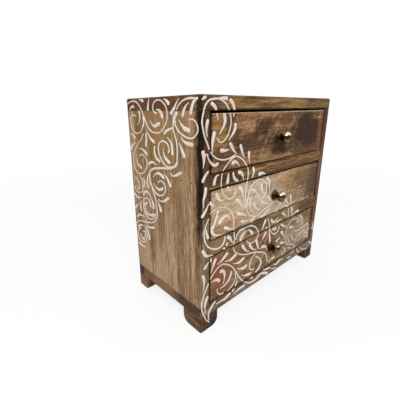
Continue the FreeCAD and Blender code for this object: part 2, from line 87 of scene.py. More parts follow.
class Nodes:
    """The tree of a material or of the world, and the one method that adds a node to it."""

    def __init__(self, tree):
        self.tree = tree

    def node(self, kind, settings, inputs, output=0):
        """One output of a new node, whose settings are made before its inputs."""
        node = self.tree.nodes.new(kind)
        for name, setting in settings.items():
            if name == "stops":
                self.set_stops(node.color_ramp, setting)
            else:
                setattr(node, name, setting)
        for name, value in inputs.items():
            self.join(value, node.inputs[name])
        return Flow(self, node.outputs[output])

    def join(self, value, socket):
        """Link a Flow to a socket, or set the socket to a plain value."""
        if isinstance(value, Flow):
            self.tree.links.new(value.socket, socket)
        else:
            socket.default_value = value

    def set_stops(self, ramp, stops):
        """Give a colour ramp its stops, each (position, tone)."""
        while len(ramp.elements) < len(stops):
            ramp.elements.new(1.0)
        for element, (position, tone) in zip(ramp.elements, stops):
            element.position = position
            element.color = as_light(tone)

    def vector_math(self, operation, inputs, output=0):
        return self.node("ShaderNodeVectorMath", {"operation": operation}, inputs, output)

    def share_of(self, vector, axis):
        """How long a vector is along one axis, 0, 1 or 2."""
        return self.node("ShaderNodeSeparateXYZ", {}, {0: vector}, axis)

    def mix(self, amount, first, second):
        """First where amount is 0 and second where it is 1. Each is a Flow or a tone."""
        first, second = (c if isinstance(c, Flow) else as_light(c) for c in (first, second))
        blend = {0: amount, 6: first, 7: second}
        return self.node("ShaderNodeMix", {"data_type": "RGBA", "clamp_factor": True}, blend, 2)


class Finish(Nodes):
    """A material's tree. Its patterns read place, a point in millimetres."""

    def __init__(self, name):
        self.material = bpy.data.materials.new(name)
        self.material.use_nodes = True
        super().__init__(self.material.node_tree)
        self.shader = self.tree.nodes["Principled BSDF"]
        metres = self.node("ShaderNodeTexCoord", {}, {}, "Object")
        self.place = self.vector_math("SCALE", {0: metres, 3: 1000.0})

    def cloud(self, size, detail, seed=0.0, rough=0.5, output=0):
        """A noise whose patches are about size = (x, y, z) millimetres."""
        stretch = {0: self.place, 1: (seed, seed, seed), 3: tuple(1 / s for s in size)}
        stretched = self.node("ShaderNodeMapping", {}, stretch)
        look = {"Vector": stretched, "Scale": 1.0, "Detail": detail, "Roughness": rough}
        return self.node("ShaderNodeTexNoise", {}, look, output)

    def noise(self, size, detail, seed=0.0, rough=0.5):
        """A cloud whose usual values, 0.28 to 0.72, are spread from 0 to 1."""
        return self.cloud(size, detail, seed, rough).eased(0.28, 0.72)

    def spot(self, colour, centre, reach, spot_tone, strength, wander):
        """colour with a soft oval spot of another tone, whose rim wanders.

        The spot is full within 0.35 of its reach and gone past 1.25 of it.
        """
        scaled = self.vector_math("MULTIPLY", {0: self.place, 1: tuple(1 / r for r in reach)})
        middle = tuple(c / r for c, r in zip(centre, reach))
        away = self.vector_math("DISTANCE", {0: scaled, 1: middle}, 1)
        inside = (away + wander).eased(1.25, 0.35)
        return self.mix(inside * strength, colour, spot_tone)

    def feed(self, name, value):
        """Give the shader's socket of that name a Flow or a plain value."""
        self.join(value, self.shader.inputs[name])

    def emboss(self, height, depth, strength):
        """height, from 0 to 1, shows as relief up to depth millimetres."""
        relief = {"Strength": strength, "Distance": depth / 1000, "Height": height}
        self.feed("Normal", self.node("ShaderNodeBump", {}, relief))

    def cover(self, nodes):
        """Give this finish to CAD nodes."""
        for node in nodes:
            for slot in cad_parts[node].material_slots:
                slot.material = self.material


def as_light(tone):
    """A tone = (red, green, blue), from 0 to 255 as it looks, as the light a shader takes."""
    seen = np.array(tone) / 255
    light = np.where(seen <= 0.04045, seen / 12.92, ((seen + 0.055) / 1.055) ** 2.4)
    return (*light.tolist(), 1.0)


# The axes that a board's grain may run along.
ACROSS, DEEP, UPRIGHT = range(3)

FURTHEST_DRIFT = 5.0
SAW_ANGLE = -0.7
WAX_GLEAM = 0.06


def wood(name, nodes, grain, tones, seed, edge=None, patches=(), mottle=0.06):
    """Waxed mango wood for CAD nodes whose fibres run along the axis grain.

    Bands, streaks and fibres, all long in the grain, run through tones = (dark, middle,
    light) and drift sideways by up to FURTHEST_DRIFT mm. mottle is the share among them of
    smudges left by the saw, which slant by SAW_ANGLE radians, and it deepens the contrast.
    Pores are short dark flecks. Each patch = (centre, reach, tone, strength, raggedness) is
    a soft spot of another tone, placed in mm; some are stains, some painted shade and
    painted highlights. edge = (tone, width in mm, strength) tints the first node along its own
    edges: part grime, part painted shade where an edge meets a seam.
    """
    finish = Finish(name)
    straight = finish.place

    def along(across, length):
        """The size of a pattern, in mm across the grain and along it."""
        size = [across, across, across]
        size[grain] = length
        return size

    drift = finish.cloud(along(14, 45), 1.0, seed, output="Color")
    furthest = (FURTHEST_DRIFT,) * 3
    finish.place = finish.vector_math("MULTIPLY_ADD", {0: drift, 1: furthest, 2: straight})
    broad = finish.noise(along(13, 110), 2.0, seed)
    streak = finish.noise(along(2.4, 60), 5.0, seed + 3, 0.65) * 1.5 - 0.25
    fibre = finish.noise(along(0.7, 14), 3.0, seed + 7, 0.6)
    pore = finish.noise(along(0.8, 6), 1.0, seed + 11).eased(0.7, 0.9)
    turn = {"Vector": straight, "Axis": (0, 1, 0), "Angle": SAW_ANGLE}
    finish.place = finish.node("ShaderNodeVectorRotate", {"rotation_type": "AXIS_ANGLE"}, turn)
    smudge = finish.noise((3.5, 6, 13), 5.0, seed + 29, 0.62).eased(0.25, 0.75)
    finish.place = straight
    cloudy = finish.noise(along(8, 12), 5.0, seed + 17, 0.6) - 0.5
    figure = (broad * 0.35 + streak * 0.45 + fibre * 0.2) * (1 - mottle) + smudge * mottle
    stops = [*zip((0.2, 0.5, 0.8), tones)]
    colour = finish.node("ShaderNodeValToRGB", {"stops": stops}, {0: figure})
    for centre, reach, patch_tone, strength, raggedness in patches:
        wander = cloudy * raggedness + (figure - 0.5) * 0.4
        colour = finish.spot(colour, centre, reach, patch_tone, strength, wander)
    contrast = 0.36 + mottle * 1.3
    shade = (figure * 0.6 + fibre * 0.4) * contrast + (1 - contrast / 2) - pore * 0.28
    colour = finish.vector_math("SCALE", {0: colour, 3: shade})
    if edge:
        edge_tone, edge_width, edge_strength = edge
        lowest, highest = (np.array(corner) * 1000 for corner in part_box(nodes[0]))
        offset = finish.vector_math("SUBTRACT", {0: straight, 1: tuple((lowest + highest) / 2)})
        offset = finish.vector_math("ABSOLUTE", {0: offset})
        inward = finish.vector_math("SUBTRACT", {0: tuple((highest - lowest) / 2), 1: offset})
        x, y, z = (finish.share_of(inward, axis) for axis in range(3))
        from_edge = x.least(y).most(x.most(y).least(z))
        # Darker along the edges: part grime, and part painted shade where an edge meets a seam.
        edge_grime_and_shade = (from_edge + cloudy * 1.6).eased(edge_width, edge_width * 0.4)
        colour = finish.mix(edge_grime_and_shade * edge_strength, colour, edge_tone)
    finish.feed("Base Color", colour)
    finish.feed("Roughness", 0.62 - figure * 0.14 + pore * 0.15)
    finish.feed("Specular IOR Level", WAX_GLEAM)
    finish.emboss(streak * 0.5 + fibre * 0.5 - pore * 0.8, depth=0.25, strength=0.5)
    finish.cover(nodes)


SCORCH = (32, 19, 10)
SIDE_DARK = (122, 94, 68)
SIDE_MIDDLE = (155, 125, 94)
SIDE_LIGHT = (184, 154, 121)
HONEY = (176, 122, 66)
GREY_BROWN = (116, 92, 66)

wood(
    "left_side_mango", ["left_side_panel"], UPRIGHT,
    (SIDE_DARK, SIDE_MIDDLE, SIDE_LIGHT),
    seed=1.3, edge=((38, 27, 18), 1.0, 0.25),
    patches=[
        ((-120, 10, 190), (3, 60, 56), (134, 105, 62), 0.6, 0.8),
        ((-120, 6, 205), (3, 20, 18), HONEY, 0.3, 0.9),
        ((-120, -4, 146), (3, 18, 20), (140, 106, 72), 0.6, 0.9),
        ((-120, -38, 212), (3, 10, 12), HONEY, 0.3, 0.9),
        ((-120, -31, 160), (3, 13, 14), (172, 143, 108), 0.6, 0.7),
        ((-120, 30, 75), (3, 7, 40), GREY_BROWN, 0.8, 0.5),
        ((-120, 50, 45), (3, 16, 24), (178, 148, 116), 0.9, 0.5),
        ((-120, 10, 47), (3, 13, 20), (182, 152, 122), 0.6, 0.6),
        ((-120, 14, 50), (3, 8, 40), (176, 146, 118), 0.6, 0.5),
        ((-120, -38, 55), (3, 3, 60), GREY_BROWN, 0.6, 0.5),
        ((-120, 67.5, 130), (3, 5, 170), (58, 46, 40), 0.9, 0.3),
        # The smoked front edge, burnt black from the middle up.
        ((-119, -55, 66), (5, 12, 80), (110, 88, 63), 0.8, 0.5),
        ((-112, -54, 190), (10, 4, 88), (84, 60, 42), 1.0, 0.4),
        ((-121, -54.5, 208), (6, 7.6, 122), SCORCH, 1.0, 0.2),
        ((-121, -54.5, 140), (6, 7.6, 54), (46, 31, 19), 0.95, 0.5),
        ((-121, -54.5, 190), (6, 7.4, 84), (26, 15, 8), 1.0, 0.3),
        ((-112, -54, 60), (6, 6, 50), (118, 98, 75), 0.9, 0.4),
        # Three thin dark streaks, and a pale line down the corner.
        ((-120, -48.6, 72), (3, 1.0, 60), (92, 70, 50), 0.6, 0.4),
        ((-120, -33, 80), (3, 0.9, 44), (96, 72, 50), 0.6, 0.3),
        ((-120, -27, 52), (3, 1.2, 40), (116, 90, 64), 0.6, 0.4),
        ((-120.2, -53.6, 74), (1.3, 1.3, 64), (172, 150, 122), 0.9, 0.3),
    ],
)
wood(
    "right_side_mango", ["right_side_panel"], UPRIGHT,
    ((76, 50, 34), (102, 72, 50), (130, 98, 72)),
    seed=5.9, edge=((64, 44, 32), 1.2, 0.5),
    patches=[
        ((114, -54, 215), (14, 8, 60), (90, 58, 38), 0.8, 0.5),
        ((114, -54, 50), (14, 8, 40), (116, 95, 80), 0.6, 0.5),
        ((119, -54, 44), (6, 4, 26), (156, 142, 128), 0.6, 0.6),
        ((120, 20, 130), (3, 26, 70), HONEY, 0.3, 0.9),
    ],
)

# ------------------------------------------------------
# Top and bottom boards
# Mango boards lie flush over and under the side panels, nailed into their
# ends. The boards' grain runs from side to side, so their own ends are darker.

END_GRAIN = (96, 65, 41)

wood(
    "top_board_mango", ["top_board"], ACROSS,
    ((90, 64, 37), (124, 94, 60), (150, 116, 74)),
    seed=9.1, edge=((74, 54, 36), 1.4, 0.45),
    patches=[
        ((-122, 6, 230), (9, 75, 14), END_GRAIN, 0.95, 0.3),
        ((-122, 62, 230), (9, 10, 14), (74, 54, 38), 0.8, 0.3),
        ((-122, -30, 230), (9, 14, 9), (112, 70, 44), 0.5, 0.8),
        ((-112, -54, 229), (26, 6, 10), (76, 56, 38), 0.8, 0.6),
        ((104, -54, 228), (24, 6, 10), (106, 86, 40), 0.6, 0.9),
        # A painted shadow along the lower edge of the front, over the gap above the upper drawer.
        ((0, -54, 223), (400, 6, 1.9), (18, 12, 7), 1.0, 0.15),
        ((-121, -54, 230), (5, 6, 12), SCORCH, 0.95, 0.3),
        ((122, 6, 230), (9, 75, 14), END_GRAIN, 0.9, 0.3),
    ],
)
wood(
    "bottom_board_mango", ["bottom_board"], ACROSS,
    ((78, 58, 42), (120, 98, 78), (156, 134, 110)),
    seed=13.7, edge=((66, 50, 38), 1.2, 0.5),
    patches=[
        ((-122, 44, 23), (9, 30, 14), (126, 87, 63), 0.95, 0.3),
        ((-122, 6, 23), (9, 24, 14), (134, 102, 78), 0.9, 0.4),
        ((-122, -40, 23), (9, 32, 14), (80, 61, 44), 1.0, 0.5),
        ((-122, 68, 24), (9, 15, 14), (50, 36, 29), 1.0, 0.3),
        ((122, 6, 23), (9, 75, 14), (104, 74, 56), 0.85, 0.3),
        ((-30, -54, 30), (60, 6, 5), (92, 72, 52), 0.6, 0.8),
        ((-92, -54, 24), (22, 6, 10), (100, 84, 66), 0.7, 0.6),
        ((48, -54, 24), (30, 6, 9), (138, 112, 86), 0.7, 0.8),
        ((98, -54, 23), (28, 6, 9), (142, 121, 100), 0.75, 0.6),
    ],
)

# ------------------------------------------------------
# Front rails, runners and back panel
# Two rails part the drawers and runners behind them carry the drawer sides.
# All are mango strips. The back is a thin sheet pinned into a rebate.

RAIL_FACE = -54
RAIL_SOAK = 6


def on_front(face, soak, patches):
    """Patches given only across and up, as ((x, z), (reach in x, reach in z), ...).

    They lie on a front at y = face, and reach soak mm into the wood.
    """
    return [
        ((x, face, z), (reach_x, soak, reach_z), *rest)
        for (x, z), (reach_x, reach_z), *rest in patches
    ]


wood(
    "upper_rail_mango", ["upper_rail"], ACROSS,
    ((72, 48, 28), (118, 87, 57), (164, 130, 88)),
    seed=21.3,
    patches=on_front(RAIL_FACE, RAIL_SOAK, [
        ((-86, 161), (44, 12), (74, 53, 37), 1.0, 0.5),
        ((0, 155), (44, 5), (88, 62, 42), 0.6, 0.8),
        ((76, 161), (56, 9), (112, 81, 50), 0.6, 0.7),
    ]),
)
wood(
    "lower_rail_mango", ["lower_rail"], ACROSS,
    ((72, 50, 32), (114, 90, 64), (158, 134, 98)),
    seed=25.1,
    patches=on_front(RAIL_FACE, RAIL_SOAK, [
        ((-94, 94), (20, 9), (150, 126, 88), 0.8, 0.6),
        ((-52, 96), (26, 8), (92, 74, 52), 0.8, 0.7),
        ((2, 96), (30, 7), (96, 76, 52), 0.7, 0.7),
        ((-57, 93), (9, 7), (176, 162, 146), 0.7, 0.7),
        ((-40, 87), (50, 3), (160, 128, 74), 0.6, 0.6),
        ((84, 92), (34, 12), (92, 67, 50), 0.9, 0.5),
        ((66, 88), (22, 4), (112, 82, 52), 0.6, 0.8),
    ]),
)
wood(
    "runner_mango",
    [f"{level}_{side}_runner" for level in ("upper", "lower") for side in ("left", "right")],
    DEEP,
    ((92, 68, 46), (130, 100, 68), (160, 130, 92)),
    seed=28.3,
)
wood(
    "back_sheet", ["back_panel"], UPRIGHT,
    ((104, 76, 50), (142, 108, 74), (172, 138, 100)),
    seed=31.9, edge=((84, 62, 44), 1.0, 0.4),
    patches=[
        ((40, 67, 150), (40, 3, 60), (120, 88, 58), 0.5, 0.8),
        ((-60, 67, 80), (30, 3, 50), (162, 126, 84), 0.45, 0.8),
    ],
)

# ------------------------------------------------------
# Feet
# Four blocks of darker mango are rounded at their inner bottom edges, glued
# and nailed up into the bottom board.

FOOT_TONES = {
    "front_left_foot": ((54, 39, 25), (93, 69, 45), (130, 98, 66)),
    "front_right_foot": ((46, 37, 30), (66, 53, 42), (92, 75, 60)),
    "rear_left_foot": ((72, 50, 36), (106, 77, 57), (132, 100, 76)),
    "rear_right_foot": ((52, 40, 32), (78, 60, 46), (104, 80, 62)),
}
FOOT_SPOTS = {
    "front_left_foot": [
        ((-96, -54, 10), (30, 8, 22), (58, 42, 32), 0.75, 0.5),
        ((-96, -54, 0), (40, 40, 8), (40, 32, 26), 0.7, 0.5),
    ],
    "rear_left_foot": [((-122, 40, 4), (12, 10, 12), (46, 34, 28), 0.7, 0.6)],
}

for seed, (node, tones) in enumerate(FOOT_TONES.items()):
    wood(
        f"{node}_mango",
        [node],
        DEEP,
        tones,
        seed=37.7 + seed,
        edge=((44, 34, 26), 0.9, 0.4),
        patches=FOOT_SPOTS.get(node, ()),
    )

# ------------------------------------------------------
# Drawers
# Each drawer has a thick mango front over thinner sides and back, and a sheet
# bottom in grooves. The three fronts came from three different planks.

DRAWER_FACE = -52
DRAWER_SOAK = 5
# Painted shade in the seams round the middle and lower drawer fronts, as a dark tint along their
# edges.
SEAM_SHADE = ((30, 17, 9), 0.9, 0.9)

wood(
    "upper_front_mango", ["upper_drawer_front"], ACROSS,
    ((100, 72, 48), (134, 99, 68), (160, 122, 86)),
    seed=41.3,
    patches=on_front(DRAWER_FACE, DRAWER_SOAK, [
        ((-98, 204), (16, 24), (150, 112, 64), 0.65, 0.8),
        ((-82, 213), (10, 10), (78, 58, 40), 0.85, 0.7),
        ((-72, 197), (13, 9), (84, 62, 44), 0.8, 0.7),
        ((-94, 182), (18, 10), (88, 66, 46), 0.8, 0.6),
        ((-90, 172), (26, 7), (92, 64, 46), 0.85, 0.7),
        ((-66, 173), (8, 5), (112, 74, 52), 0.7, 0.7),
        ((-50, 192), (32, 11), (80, 59, 42), 0.9, 0.7),
        ((-25, 206), (22, 12), (70, 49, 33), 1.0, 0.6),
        ((52, 190), (58, 36), (98, 71, 49), 0.65, 0.6),
        ((14, 214), (28, 9), (94, 66, 44), 0.85, 0.7),
        ((4, 181), (24, 12), (60, 43, 30), 1.0, 0.6),
        ((60, 204), (38, 30), (56, 39, 24), 1.0, 0.5),
        ((76, 188), (34, 28), (58, 41, 27), 1.0, 0.5),
        ((48, 173), (24, 8), (92, 68, 47), 0.9, 0.6),
        ((84, 172), (26, 7), (94, 66, 48), 0.8, 0.6),
        ((-22, 174), (14, 8), (150, 118, 88), 0.8, 0.6),
        ((104, 196), (9, 34), (120, 85, 58), 0.95, 0.3),
        # A painted highlight along the top edge, and painted shade in the seams at the bottom and
        # the sides.
        ((0, 221.2), (400, 1.3), (206, 174, 142), 0.8, 0.2),
        ((0, 167.6), (400, 1.4), (34, 20, 10), 1.0, 0.2),
        ((-108, 194), (4.4, 200), (16, 9, 5), 1.0, 0.1),
        ((108, 194), (1.1, 200), (52, 32, 22), 0.9, 0.2),
    ]),
    mottle=0.24,
)
wood(
    "middle_front_mango", ["middle_drawer_front"], ACROSS,
    ((150, 116, 82), (176, 145, 111), (200, 172, 140)),
    seed=47.9, edge=SEAM_SHADE,
    patches=on_front(DRAWER_FACE, DRAWER_SOAK, [
        ((-76, 136), (40, 24), (194, 170, 142), 0.7, 0.9),
        ((-20, 124), (40, 28), (198, 182, 162), 0.75, 0.9),
        ((-66, 112), (30, 7), (194, 146, 108), 0.5, 0.8),
        ((6, 106), (34, 9), (190, 174, 154), 0.7, 0.7),
        ((30, 142), (28, 12), (174, 137, 98), 0.75, 0.7),
        ((102, 130), (54, 40), (92, 70, 50), 1.0, 0.5),
        ((66, 142), (30, 14), (130, 98, 68), 0.9, 0.6),
        ((-11, 134), (7, 6), (140, 96, 60), 0.7, 0.6),
        ((58, 112), (24, 11), (154, 126, 100), 0.8, 0.6),
        ((64, 148), (34, 3), (164, 124, 82), 0.5, 0.8),
        ((90, 107), (18, 7), (84, 70, 52), 0.6, 0.6),
        # Thin streaks among the leaves, and painted shade in the seams round the front.
        ((-84, 141), (24, 1.1), (152, 124, 96), 0.7, 0.6),
        ((-92, 127), (20, 1.2), (150, 128, 104), 0.7, 0.6),
        ((-58, 119), (26, 1.3), (206, 158, 114), 0.6, 0.6),
        ((-82, 111), (26, 1.2), (158, 120, 88), 0.7, 0.6),
        ((-108, 127), (3.8, 200), (20, 12, 6), 1.0, 0.1),
        ((0, 152.9), (400, 1.8), (22, 12, 6), 1.0, 0.2),
        ((0, 101.1), (400, 1.7), (24, 14, 7), 1.0, 0.2),
    ]),
    mottle=0.2,
)
wood(
    "lower_front_mango", ["lower_drawer_front"], ACROSS,
    ((96, 70, 50), (128, 98, 70), (158, 128, 98)),
    seed=53.3, edge=SEAM_SHADE,
    patches=on_front(DRAWER_FACE, DRAWER_SOAK, [
        ((-94, 56), (26, 36), (132, 84, 59), 0.9, 0.5),
        ((-60, 70), (40, 16), (128, 82, 58), 0.75, 0.7),
        ((-22, 76), (16, 10), (124, 80, 48), 0.7, 0.8),
        ((-70, 62), (14, 16), (126, 97, 62), 0.7, 0.7),
        ((12, 60), (14, 16), (112, 87, 63), 0.7, 0.6),
        ((66, 56), (46, 26), (158, 138, 116), 0.8, 0.7),
        ((86, 50), (24, 16), (172, 156, 138), 0.8, 0.5),
        ((94, 77), (16, 9), (134, 99, 62), 0.85, 0.5),
        ((107, 70), (6, 22), (100, 62, 36), 0.8, 0.4),
        ((96, 34), (24, 6), (110, 84, 62), 0.6, 0.7),
        # Painted shade in the seams at the left and the top.
        ((-108, 57), (3.8, 200), (20, 12, 6), 1.0, 0.1),
        ((0, 84.4), (400, 1.8), (22, 12, 6), 1.0, 0.2),
    ]),
    mottle=0.3,
)
DRAWER_WOOD = ((140, 108, 72), (176, 144, 104), (202, 174, 134))
SHEET_WOOD = ((168, 136, 98), (196, 166, 126), (214, 188, 150))

for seed, level in enumerate(("upper", "middle", "lower")):
    sides = [f"{level}_drawer_left_side", f"{level}_drawer_right_side"]
    wood(f"{level}_side_wood", sides, DEEP, DRAWER_WOOD, 59.9 + seed)
    wood(f"{level}_back_wood", [f"{level}_drawer_back"], ACROSS, DRAWER_WOOD, 69.9 + seed)
    wood(f"{level}_bottom_sheet", [f"{level}_drawer_bottom"], DEEP, SHEET_WOOD, 79.9 + seed)

# ------------------------------------------------------
# Scrolling vine
# Whitening paste is piped from a cone onto the finished case: thin stems and
# fat teardrop leaves, each a low bead. It dries chalky and wears on its crests.

# One bead to a line, which is carried on under an indent: its width at the start, its
# width at its fattest, and its points across,up on the face that it lies on, all in mm.
SIDE_VINE = """
1.4 1.4 64.5,230 59.5,232 53,233 46.5,232.5 41,229.5 37,225.5 33.5,220 30.5,215.5 27,210 22.5,205
  16.5,202.5 11,202 4.5,203 -2,207 -7,212.5 -9,219 -8,225.5 -4.5,229.5 0.5,232.5 6,233 11,231.5
  14,228 14,224 11,221 7.5,221.5
0.8 3.2 39.5,234 35,234 31,232
0.9 3 20,235 22,230.5 23,226.5 24,221
1.1 3.6 -4.5,234 -8.5,232 -13,228.5
0.8 3.2 -27,233.5 -23,229.5 -19,224.5 -13.5,220
1.3 1.9 -23,224 -27,228.5 -32.5,231.5 -38.5,233 -45.5,233 -50.5,232
2.2 3.2 -51.5,233.5 -46.5,230.5 -44,226.5 -42,220
0.8 3 -40,230 -36,227 -33,223 -31,217.5
1.3 1.7 -39,215.5 -43.5,216.5 -47.5,215 -50.5,211 -51,207 -48,203 -43.5,200.5 -37.5,200.5 -31,202.5
  -25.5,205.5 -21.5,210 -20,215
1.1 3.4 -17.5,207 -18,213.5 -20.5,218 -24,222.5
1.4 1.7 -17,207.5 -20,201 -22,194.5 -22.5,187.5 -22,180 -21,176 -18,173 -13.5,171 -8.5,170.5
  -3.5,171 2,174.5 6,179.5 8,185 7,190.5 3.5,194 -2,195 -7,193 -9.5,190 -10,186.5 -8,184
2.4 1.4 -22,177.5 -20,173.5 -15.5,171 -10,169 -1,168 9.5,166.5 17.5,165 23,162.5 26.5,159 27.5,154
  27,149.5 24,144.5 19,139.5 14,137 8.5,137 3.5,139 -0.5,143.5 -1,148.5 1.5,152 5.5,153.5 9.5,152.5
  12,150
1.7 3 -17.5,208.5 -11.5,206.5 -7,205 -2.5,201.5
0.8 3.2 -6,199 -10,197.5 -13.5,194 -15,189 -15,182.5
0.8 4.2 -26.5,215.5 -29.5,211.5 -34.5,208 -41,206.5
1.1 3.8 -28,201 -32,197.5 -37,195.5 -45,195
0.8 3.6 -25,195.5 -28,191.5 -31,186.5 -33,182
0.8 3 -9.5,165 -14,162.5 -20,164 -28,168
0.9 3.2 0,162 -4.5,158.5 -7.5,155 -10.5,150
0.8 3.4 21,155 16,159 11,161 5.5,160 0,157
0.8 3.2 20.5,149 17.5,145.5 12.5,143.5 7.5,144 2.5,146.5
2 3 14.5,189 15.5,183.5 14,178.5 11,175.5 5.5,173.5
0.8 3.8 -0.5,188 -1,183.5 -3.5,178.5 -11,174
0.9 3.8 20.5,214 18,211 14,208.5 9.5,209.5 3.5,211.5
1.3 3.8 8.5,224.5 3.5,223.5 0.5,220.5 -1.5,216
1.4 1.6 47,217 51.5,219 56.5,218 59.5,215 60,210 58,204.5 53,200.5 47.5,199.5 41.5,201 37,204.5
  34.5,209.5
1.5 2.8 34,206.5 32.5,212.5 33,218
0.8 3 61.5,222 58.5,225.5 54.5,227.5 50,227
0.8 2.8 46.5,209 42.5,211 40,215 40,220 41.5,225
0.9 3.4 62.5,199.5 57,197 51.5,194
0.9 3.8 51.5,189 58,187 61,184 63.5,180
1.4 1.6 34.5,200.5 40,194 46,189 51.5,184 56.5,178.5 59,172 60,165.5 58,160 54,156 48,154.5
  41.5,156 36,159 32,165 31,169.5 33,173.5 37,176.5 41.5,177 46,175
0.9 3.4 46,183 41,183.5 35,181.5 29.5,177.5
0.8 3.4 51.5,173.5 52,169 50,165 42.5,161
2 2.8 29.5,201.5 29.5,195.5 30.5,190.5 32,186
0.8 3.4 26.5,203 24,199 20,195 14,192
1.1 3.2 13,169 17.5,171 22.5,171 28.5,168
1.4 1.6 49,154 46,149.5 43.5,144.5 43.5,139 45,134 50,131.5 55.5,131 59.5,133 60.5,137.5
1.2 1.6 61.5,147.5 57,148 53,145.5 50,141.5 50,137.5 53.5,135 54.5,139.5
1.3 3.8 42.5,150.5 39.5,148 39.5,143.5 41.5,139.5
1.3 2.8 29.5,157.5 32,152 32.5,146 30.5,140
0.9 3.6 27.5,127.5 29,132.5 33.5,135.5 39.5,134.5 43.5,129.5
1.3 3.4 26.5,130.5 24.5,126 23,122.5 23.5,117.5
1.4 1.7 45,117 44,123.5 41,126 36,127.5 32,126.5 29.5,123.5 29,118
0.9 3.6 34,122.5 38.5,120.5 43,117.5
1.4 1.6 44.5,118 44,113 42,108.5 38.5,105 33.5,103.5 29,104 24,106.5 20.5,109.5 18.5,114.5
1.1 1.5 41,116.5 40,112 37.5,108.5 33.5,106.5
0.9 3.8 37,111.5 33,109 27,109 22,112
1.4 1.6 24.5,143.5 21,137.5 18,131 17,123.5 16,116 16.5,110.5 19,106.5 23.5,102.5 29.5,99.5 37,97.5
  45,96 53,94.5 59,92.5 64,88.5
0.8 3.2 13.5,132 7.5,131 2,132.5 -6.5,138
0.8 3.6 14.5,131 12,126.5 10,122.5 8,118
2.8 1.1 64.5,128.5 60.5,125.5 56.5,124 51.5,124.5 46,126
2.8 1.1 65,109 61,111 58,114 54.5,116.5
1.1 3 47.5,122.5 50,118.5 51,114 49.5,108
0.9 3.2 44,102.5 50.5,102.5 56.5,101.5 60.5,97.5
0.9 3.2 46,90 51.5,89.5 56.5,87.5 60.5,84
0.9 3 46,89.5 39.5,91 32,92.5 23.5,95
1.1 3.2 40,88.5 37.5,84 36,80 35.5,75
1.5 1.5 44,88.5 41.5,84 41,79 42.5,73.5 45.5,69.5 50,67.5 55.5,66 60.5,68.5 62,73.5 61,79 58,83
  54,85
1.2 1.6 51,81 47.5,82.5 44.5,81 44.5,77.5 47,74.5
1.1 3.4 57,77 55,73.5 51.5,71.5 46.5,72.5
2.8 1.5 62.5,62.5 57,61 50.5,60.5 45.5,62.5
"""

